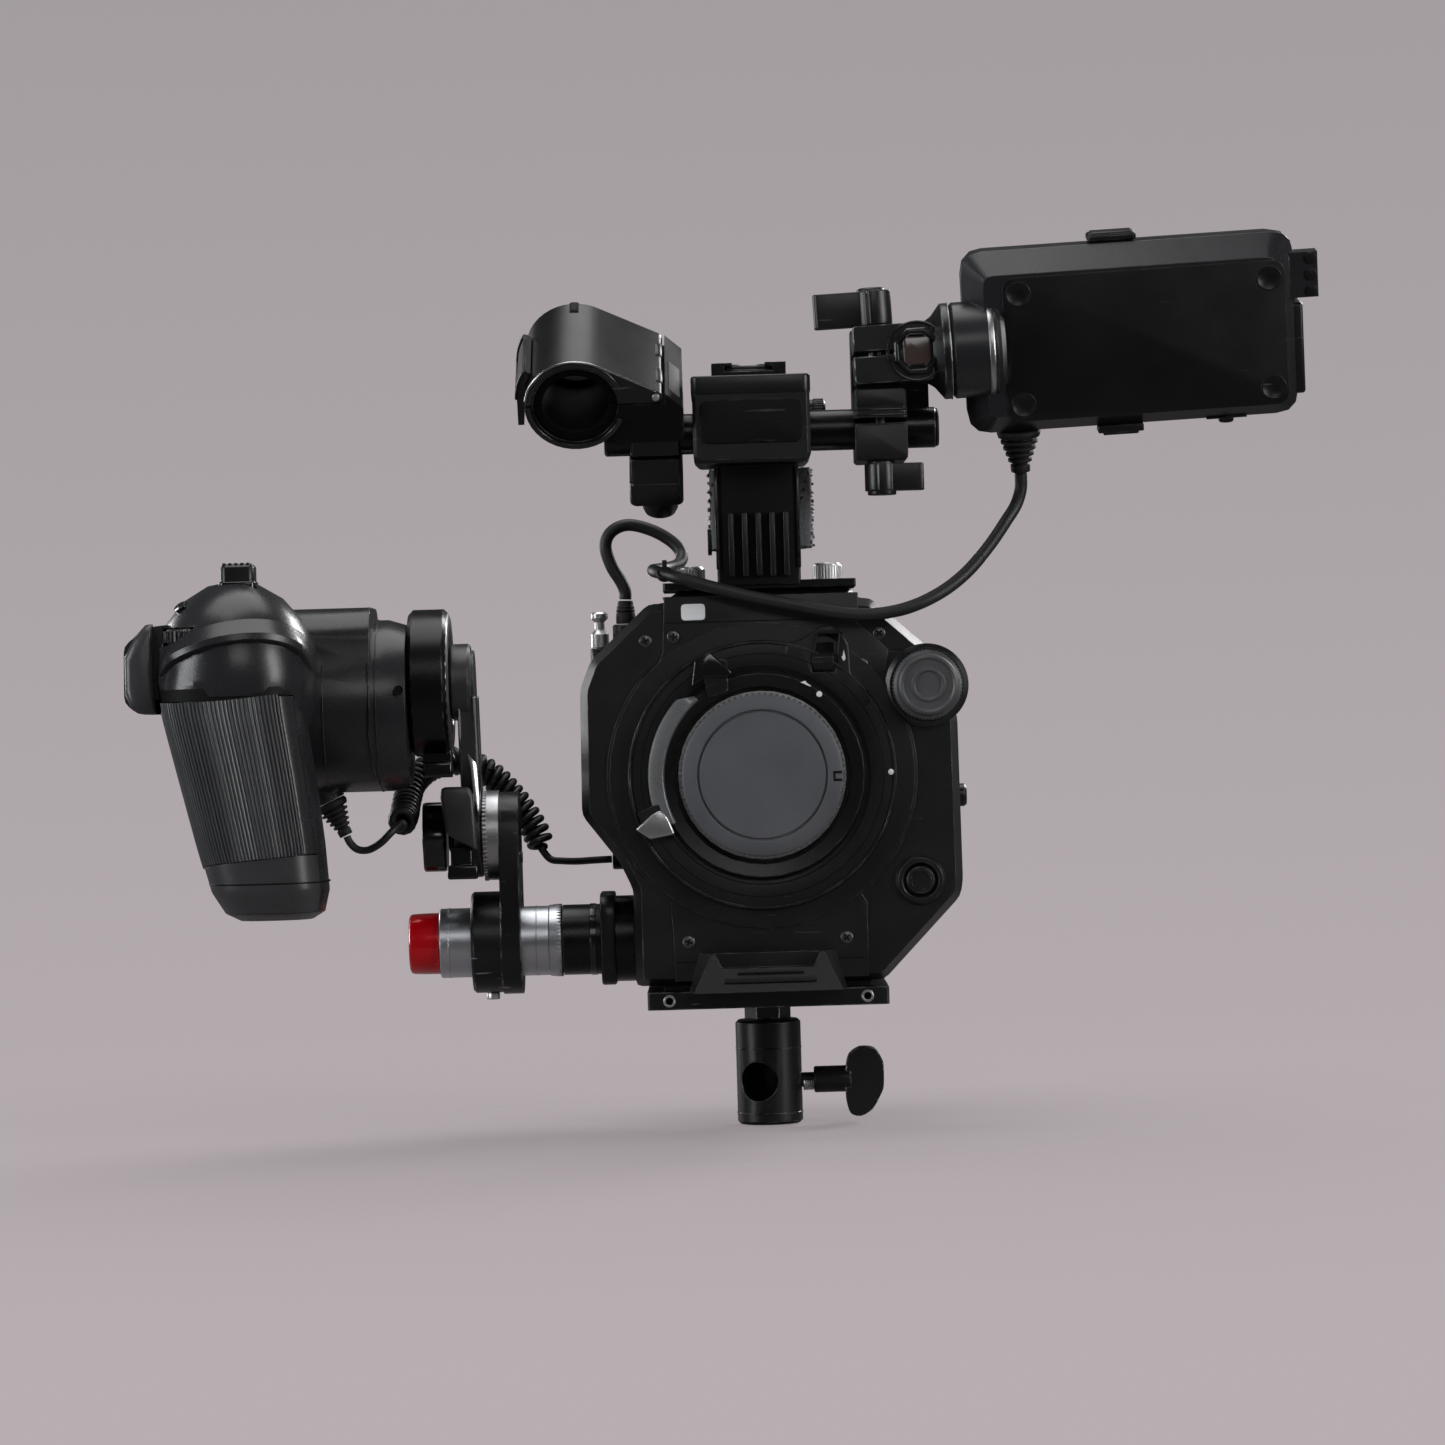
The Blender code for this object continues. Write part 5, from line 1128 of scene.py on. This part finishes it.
GRIP_SECTIONS = [
    ((-189.8, -104.0), (19.0, 20.5), 95.6), ((-191.4, -104.0), (22.6, 24.0), 104.0),
    ((-194.4, -104.0), (24.4, 25.0), 122.0), ((-198.6, -104.0), (26.0, 25.6), 146.0),
    ((-203.4, -104.0), (27.4, 26.0), 172.0), ((-204.8, -104.0), (27.6, 26.0), 184.0),
]


GRIP_MIDDLE = 146.0
GRIP_SQUARENESS = 2.6
FINE_STEPS = 600
STRIP_ROWS = 14
HEAD_CENTRE = (-203.4, -98.0, 186.0)
HEAD_RADII = (32.6, 34.0, 38.4)


def grip_point(z, degrees, out):
    """A point on the grip's surface at a height and a bearing, moved out by a distance."""
    for (c0, h0, z0), (c1, h1, z1) in zip(GRIP_SECTIONS, GRIP_SECTIONS[1:]):
        if z <= z1:
            break
    t = (z - z0) / (z1 - z0)
    centre = [a + (b - a) * t for a, b in zip(c0, c1)]
    half = [a + (b - a) * t + out for a, b in zip(h0, h1)]
    c, s = math.cos(math.radians(degrees)), math.sin(math.radians(degrees))
    return Vector((centre[0] + half[0] * math.copysign(abs(c) ** (2 / GRIP_SQUARENESS), c),
        centre[1] + half[1] * math.copysign(abs(s) ** (2 / GRIP_SQUARENESS), s), z))


def strip_surface(start, end, columns, top, bottom, rise, name, kind, replaces=()):
    """A skin on the grip between two bearings, with its own upper and lower edge."""
    bm = bmesh.new()
    outer, inner = [], []
    fine = [start + (end - start) * k / FINE_STEPS for k in range(FINE_STEPS + 1)]
    travel = [0.0]
    for a, b in zip(fine, fine[1:]):
        travel.append(travel[-1] + (grip_point(GRIP_MIDDLE, b, 0) - grip_point(GRIP_MIDDLE, a, 0)).length)
    stops = [bisect.bisect_left(travel, travel[-1] * i / columns) for i in range(columns + 1)]
    bearings = [fine[min(k, FINE_STEPS)] for k in stops]
    for row in range(STRIP_ROWS + 1):
        front, back = [], []
        for i, degrees in enumerate(bearings):
            share = i / columns
            z = bottom(share) + (top(share) - bottom(share)) * row / STRIP_ROWS
            lift = rise[i % len(rise)] if 0 < i < columns else 0.0
            front.append(bm.verts.new(grip_point(z, degrees, lift)))
            back.append(bm.verts.new(grip_point(z, degrees, -1.0)))
        outer.append(front)
        inner.append(back)
    for grid in (outer, inner):
        for a, b in zip(grid, grid[1:]):
            for i in range(columns):
                bm.faces.new((a[i], a[i + 1], b[i + 1], b[i]))
    for row in (0, STRIP_ROWS):
        for i in range(columns):
            bm.faces.new((outer[row][i], outer[row][i + 1], inner[row][i + 1], inner[row][i]))
    for side in (0, columns):
        for row in range(STRIP_ROWS):
            bm.faces.new((outer[row][side], outer[row + 1][side], inner[row + 1][side], inner[row][side]))
    piece(name, outward(bm), kind, "grip", replaces=replaces)


def build_grip_rubber():
    """The pad with its fine upright ribs, and the smooth strip beside it."""
    def top(share):
        return 176.9 + 2.6 * share + 1.0 * math.cos(5 * share)

    def bottom(share):
        return 109.8 + 8.2 * share ** 0.6

    def low_edge(share):
        return bottom(min(1.0, share * 180 / 158)) - 0.35

    # the ribbed pad's grey rubber is partly painted light
    strip_surface(151, 309, 208, top, bottom, (0.0, 0.62, 0.78, 0.62), "grip_ribbed_pad", "rubber_sheen",
        ["grip_rubber"])
    strip_surface(309.6, 329, 16, lambda share: 178.9, lambda share: 118.2, (0.15,), "grip_side_strip",
        "plastic")
    # the near-black band between the pad and the brim is painted shade under the brim
    strip_surface(151, 329, 60, lambda share: 182.6, lambda share: top(share) + 0.3, (0.1,),
        "grip_band_painted_shade", "dark")
    # the foot shell is in the lighter plastic: painted light
    strip_surface(150, 330, 60, low_edge, lambda share: 95.8, (0.14,), "grip_foot_shell", "foot")


def dome_point(x, z, out=0.0):
    """A point on the front of the grip's head, and its outward direction."""
    (cx, cy, cz), (rx, ry, rz) = HEAD_CENTRE, HEAD_RADII
    share = 1 - ((x - cx) / rx) ** 2 - ((z - cz) / rz) ** 2
    y = cy - ry * math.sqrt(max(share, 0.0))
    normal = Vector(((x - cx) / rx ** 2, (y - cy) / ry ** 2, (z - cz) / rz ** 2)).normalized()
    return Vector((x, y, z)) + normal * out, normal


def build_brim():
    """The curved lip that the grip's head ends in, over the pad."""
    route = spline([(-231.0, 0, 188.4), (-224.4, 0, 193.7), (-211.6, 0, 198.6), (-200.8, 0, 200.6),
        (-190.0, 0, 200.8), (-182.3, 0, 199.0), (-176.4, 0, 195.2), (-172.8, 0, 190.0)], 2.0)
    rings = []
    for i, point in enumerate(route):
        taper = 0.1 + 0.9 * min(1.0, i / 4, (len(route) - 1 - i) / 4)
        # From the root of the lip over its crest to its foot: (height, distance out)
        section = ((8.0, 0.05), (4.6, 1.2 * taper), (1.5, 2.7 * taper), (-0.6, 2.2 * taper), (-1.4, -0.6))
        front = [dome_point(point.x, point.z + rise, out)[0] for rise, out in section]
        inward = dome_point(point.x, point.z + 1.5)[1] * -1.5
        rings.append(front + [front[-1] + inward, front[0] + inward])
    piece("grip_brim", loft(rings), "plastic", "grip")


def build_flap_cover():
    """The rounded cover on the flap at the outer side of the grip's head."""
    outline = [(-236.5, 208.0), (-233.8, 208.4), (-233.6, 190.0), (-233.0, 173.6), (-238.9, 173.7),
        (-242.5, 175.6), (-244.6, 180.7), (-244.8, 196.2), (-241.0, 203.3)]
    rings = []
    for y, scale in ((-110.5, 1.0), (-112.4, 1.0), (-114.0, 0.93), (-115.0, 0.80), (-115.5, 0.55)):
        ring = [(-238.4 + (x + 238.4) * scale, 190.6 + (z - 190.6) * scale) for x, z in outline]
        rings.append([Vector((x, y + (z - 190.6) * 0.10, z)) for x, z in ring])
    # the flap cover is in the lighter plastic: painted light
    piece("grip_flap_cover", loft(rings), "foot", "grip", rounding=0.5)


def build_grip_detail():
    seam = [grip_point(107.2, 4 * i, 0.05) for i in range(90)]
    piece("grip_cap_seam", loop(seam, 0.35), "dark", "grip")
    dial = (-219.6, -113.2)
    parts = [prism(gear(9.7, 0.9, 30, dial), "Z", 200.8, 205.2),
        lathe([(0, 200.2), (8.6, 200.2), (9.0, 200.9), (9.0, 205.1), (8.6, 205.8), (0, 205.8)], "Z", dial,
        48)]
    piece("grip_dial", parts, "satin", "thumb_dial", replaces=["thumb_dial"])
    ridges = [block((-206.9 + 2.3 * k, -205.7 + 2.3 * k), (-104.4, -91.6), (230.3, 231.2)) for k in range(5)]
    piece("rocker_ridges", ridges, "rubber", "grip_rocker", bevel=0.25)
    sleeve = slab((-208.6, -194.2), (-106.0, -90.2), 2.4, "Z", 217.0, 224.0)
    piece("rocker_post", sleeve, "gloss", "grip", rounding=0.8)
    housing = [lathe([(33.6, x), (34.15, x + 0.1), (34.15, x + 0.6), (33.6, x + 0.7)], "X", GRIP_HOUSING, 96)
               for x in (-171.0, -150.4)]
    piece("housing_lines", housing, "plastic", "grip")
    point, normal = dome_point(-223.2, 214.6, -0.4)
    turn = normal.to_track_quat("Z", "Y").to_matrix().to_4x4()
    oval = [(4.6 * math.cos(t * math.pi / 16), 2.6 * math.sin(t * math.pi / 16)) for t in range(32)]
    piece("grip_button", prism(oval, "Z", -0.8, 1.2), "gloss", "grip", at=Matrix.Translation(point) @ turn,
        bevel=0.5)
    # The hole is not cut: a near-black plug stands in it as painted shade.
    hole = lathe([(0, -94.9), (1.5, -94.9), (1.8, -95.2), (1.8, -93.0), (0, -93.0)], "Y", (-140.8, 180.3), 20)
    piece("housing_screw_hole_shade", hole, "dark", "grip")
    route = spline([(-163.4, 0, 203.4), (-157.4, 0, 201.2), (-153.6, 0, 195.0), (-152.6, 0, 178.0),
        (-153.0, 0, 160.0), (-151.4, 0, 148.0), (-150.4, 0, 142.4)], 2.5)
    seam = []
    for point in route:
        reach = math.sqrt(max(33.95 ** 2 - (point.z - GRIP_HOUSING[1]) ** 2, 0.0))
        seam.append((point.x, GRIP_HOUSING[0] - reach, point.z))
    piece("housing_seam", pipe(seam, 0.4, 8), "gloss", "grip")


# ---------------------------------------------------------------- back and sides of the camera

def build_rear_detail():
    frame_outline = [(-48, 63.5), (48, 63.5), (74, 103), (74, 165), (62, 190), (42, 210.5), (-42, 210.5),
        (-67, 178), (-67, 128), (-50, 106)]
    piece("rear_panel", prism(frame_outline, "Y", 83.9, 84.6), "body", "camera", bevel=0.3)
    vents = [recessed(round_box((-62, -34), (z, z + 4.4), 1.4),
        round_box((-60.4, -35.6), (z + 1.2, z + 3.2), 0.9), "Y", 85.3, 84.4, 84.5)
        for z in range(130, 178, 6)]
    piece("rear_vents", vents, "satin", "camera", bevel=0.15)
    video = []
    for z in (178.0, 156.0):
        video.append(lathe([(0, 85.5), (1.0, 85.5), (1.0, 91.0), (3.4, 91.0), (3.4, 86.0), (4.4, 86.0),
            (4.4, 93.0), (4.9, 93.0), (4.9, 86.6), (7.2, 86.2), (7.2, 84.4), (0, 84.4)], "Y", (52.0, z), 40))
        video.append(block((47.0, 57.0), (89.4, 90.8), (z - 0.9, z + 0.9)))
    piece("video_sockets", video, "steel", "camera")
    power = [lathe([(5.2, 84.4), (8.4, 84.4), (8.4, 87.2), (7.8, 88.0), (5.8, 88.0), (5.2, 87.0)], "Y",
        (52.0, z), 40) for z in (132.0, 108.0)]
    pins = [lathe([(0, 84.4), (0.7, 84.4), (0.7, 87.0), (0, 87.2)], "Y",
        (52.0 + 2.6 * math.cos(t), 132.0 + 2.6 * math.sin(t)), 12) for t in (0.8, 2.4, 3.9, 5.5)]
    piece("power_sockets", power, "anodised", "camera")
    piece("power_pins", pins, "steel", "camera")
    ribs = [block((-23.6, 23.6), (105.8, 106.5), (z, z + 1.6)) for z in (98, 102, 106, 160, 164, 168)]
    piece("battery_ribs", ribs, "plastic", "battery", bevel=0.3)
    window = recessed(round_box((-16, 16), (118, 148), 2), round_box((-14, 14), (120, 146), 1.5), "Y", 106.6,
        105.6, 106.1)
    piece("battery_panel", window, "plastic", "battery", bevel=0.3)
    lamps = [slab((-10 + 6 * k, -6.6 + 6 * k), (151.6, 153.4), 0.6, "Y", 105.8, 106.4) for k in range(4)]
    piece("battery_lamps", lamps, "white", "battery", bevel=0.1)
    corners = [(x, z, 84.6) for x in (-46, 46) for z in (206, 66)] + [(0, 206, 84.6), (68, 150, 84.6),
        (-62, 150, 84.6)]
    screws("rear_screws", corners, "Y", 1, 2.3, "camera")


def build_left_side_detail():
    door = recessed(round_box((-10.0, 66.0), (131.0, 175.0), 3), round_box((-5.0, 61.0), (154.0, 172.0), 2),
        "X", -71.4, -70.2, -70.6)
    piece("side_door", door, "body", "camera", bevel=0.35)
    buttons = []
    for row in range(2):
        for k in range(6):
            buttons.append(lathe([(0, -72.3), (2.1, -72.3), (2.7, -71.9), (2.7, -70.5), (0, -70.5)], "X",
                (0.6 + 11.0 * k, 167.6 - 9.4 * row), 28))
    piece("side_buttons", buttons, "rubber", "camera")
    window = slab((-4.0, 40.0), (134.0, 150.0), 2, "X", -71.7, -71.2)
    piece("side_display", window, "glass", "camera", bevel=0.2)
    wheel = lathe([(0, -73.4), (6.2, -73.4), (7.2, -72.6), (7.2, -71.0), (0, -71.0)], "X", (53.0, 142.0), 48)
    piece("menu_wheel", [wheel, prism(gear(7.8, 0.5, 36, (53.0, 142.0)), "X", -72.9, -71.6)], "satin",
        "camera")
    slots = [slab((-52 + 5 * k, -49.6 + 5 * k), (140, 166), 1.1, "X", -70.75, -70.3) for k in range(8)]
    piece("side_louvres", slots, "dark", "camera")
    screws("left_screws", [(-58, 172, -70.4), (-58, 134, -70.4), (73, 172, -70.4), (73, 134, -70.4)], "X", -1,
        2.2, "camera")


def build_right_side_detail():
    slots = [slab((-40 + 7 * k, -36.6 + 7 * k), (141, 163), 1.5, "X", 76.9, 77.35) for k in range(14)]
    piece("air_slots", slots, "dark", "camera")
    cover = slab((-6, 66), (105, 134), 3, "X", 76.8, 77.9)
    piece("media_door", cover, "body", "camera", bevel=0.4)
    pull = slab((56, 63), (109, 130), 1.5, "X", 77.8, 78.8)
    piece("media_door_pull", pull, "satin", "camera", bevel=0.4)
    screws("right_screws", [(-50, 160, 77.0), (74, 160, 77.0), (74, 107, 77.0), (-50, 107, 77.0)], "X", 1,
        2.2, "camera")
    top = [slab((-38, 36), (-14, 62), 4, "Z", 214.9, 215.6)]
    piece("top_panel", top, "body", "camera", bevel=0.3)
    threads = [lathe([(1.7, 215.2), (3.6, 215.2), (3.6, 216.2), (3.2, 216.5), (1.9, 216.5), (1.7, 216.2)],
        "Z", p, 28) for p in ((-30, -2), (29, -2), (-30, 24), (29, 24), (-30, 50), (29, 50))]
    piece("top_threads", threads, "steel", "camera")
    screws("handle_screws", [(1.1, y, 296.0) for y in (-30.0, 20.0, 50.0)], "Z", 1, 2.4, "camera", sides=6)


def main():
    build_camera()
    build_world()
    build_lights()
    build_floor()
    dress_nodes()
    build_monitor_cable()
    build_coiled_cable()
    build_front_detail()
    build_lens_mount_detail()
    build_cap()
    build_filter_knob()
    build_plate_detail()
    build_t_screw_thread()
    build_handle_detail()
    build_strap()
    build_mic_detail()
    build_arm_detail()
    build_monitor_detail()
    build_strain_reliefs()
    build_side_arm_detail()
    build_grip_rubber()
    build_brim()
    build_grip_detail()
    build_flap_cover()
    build_rear_detail()
    build_left_side_detail()
    build_right_side_detail()


main()
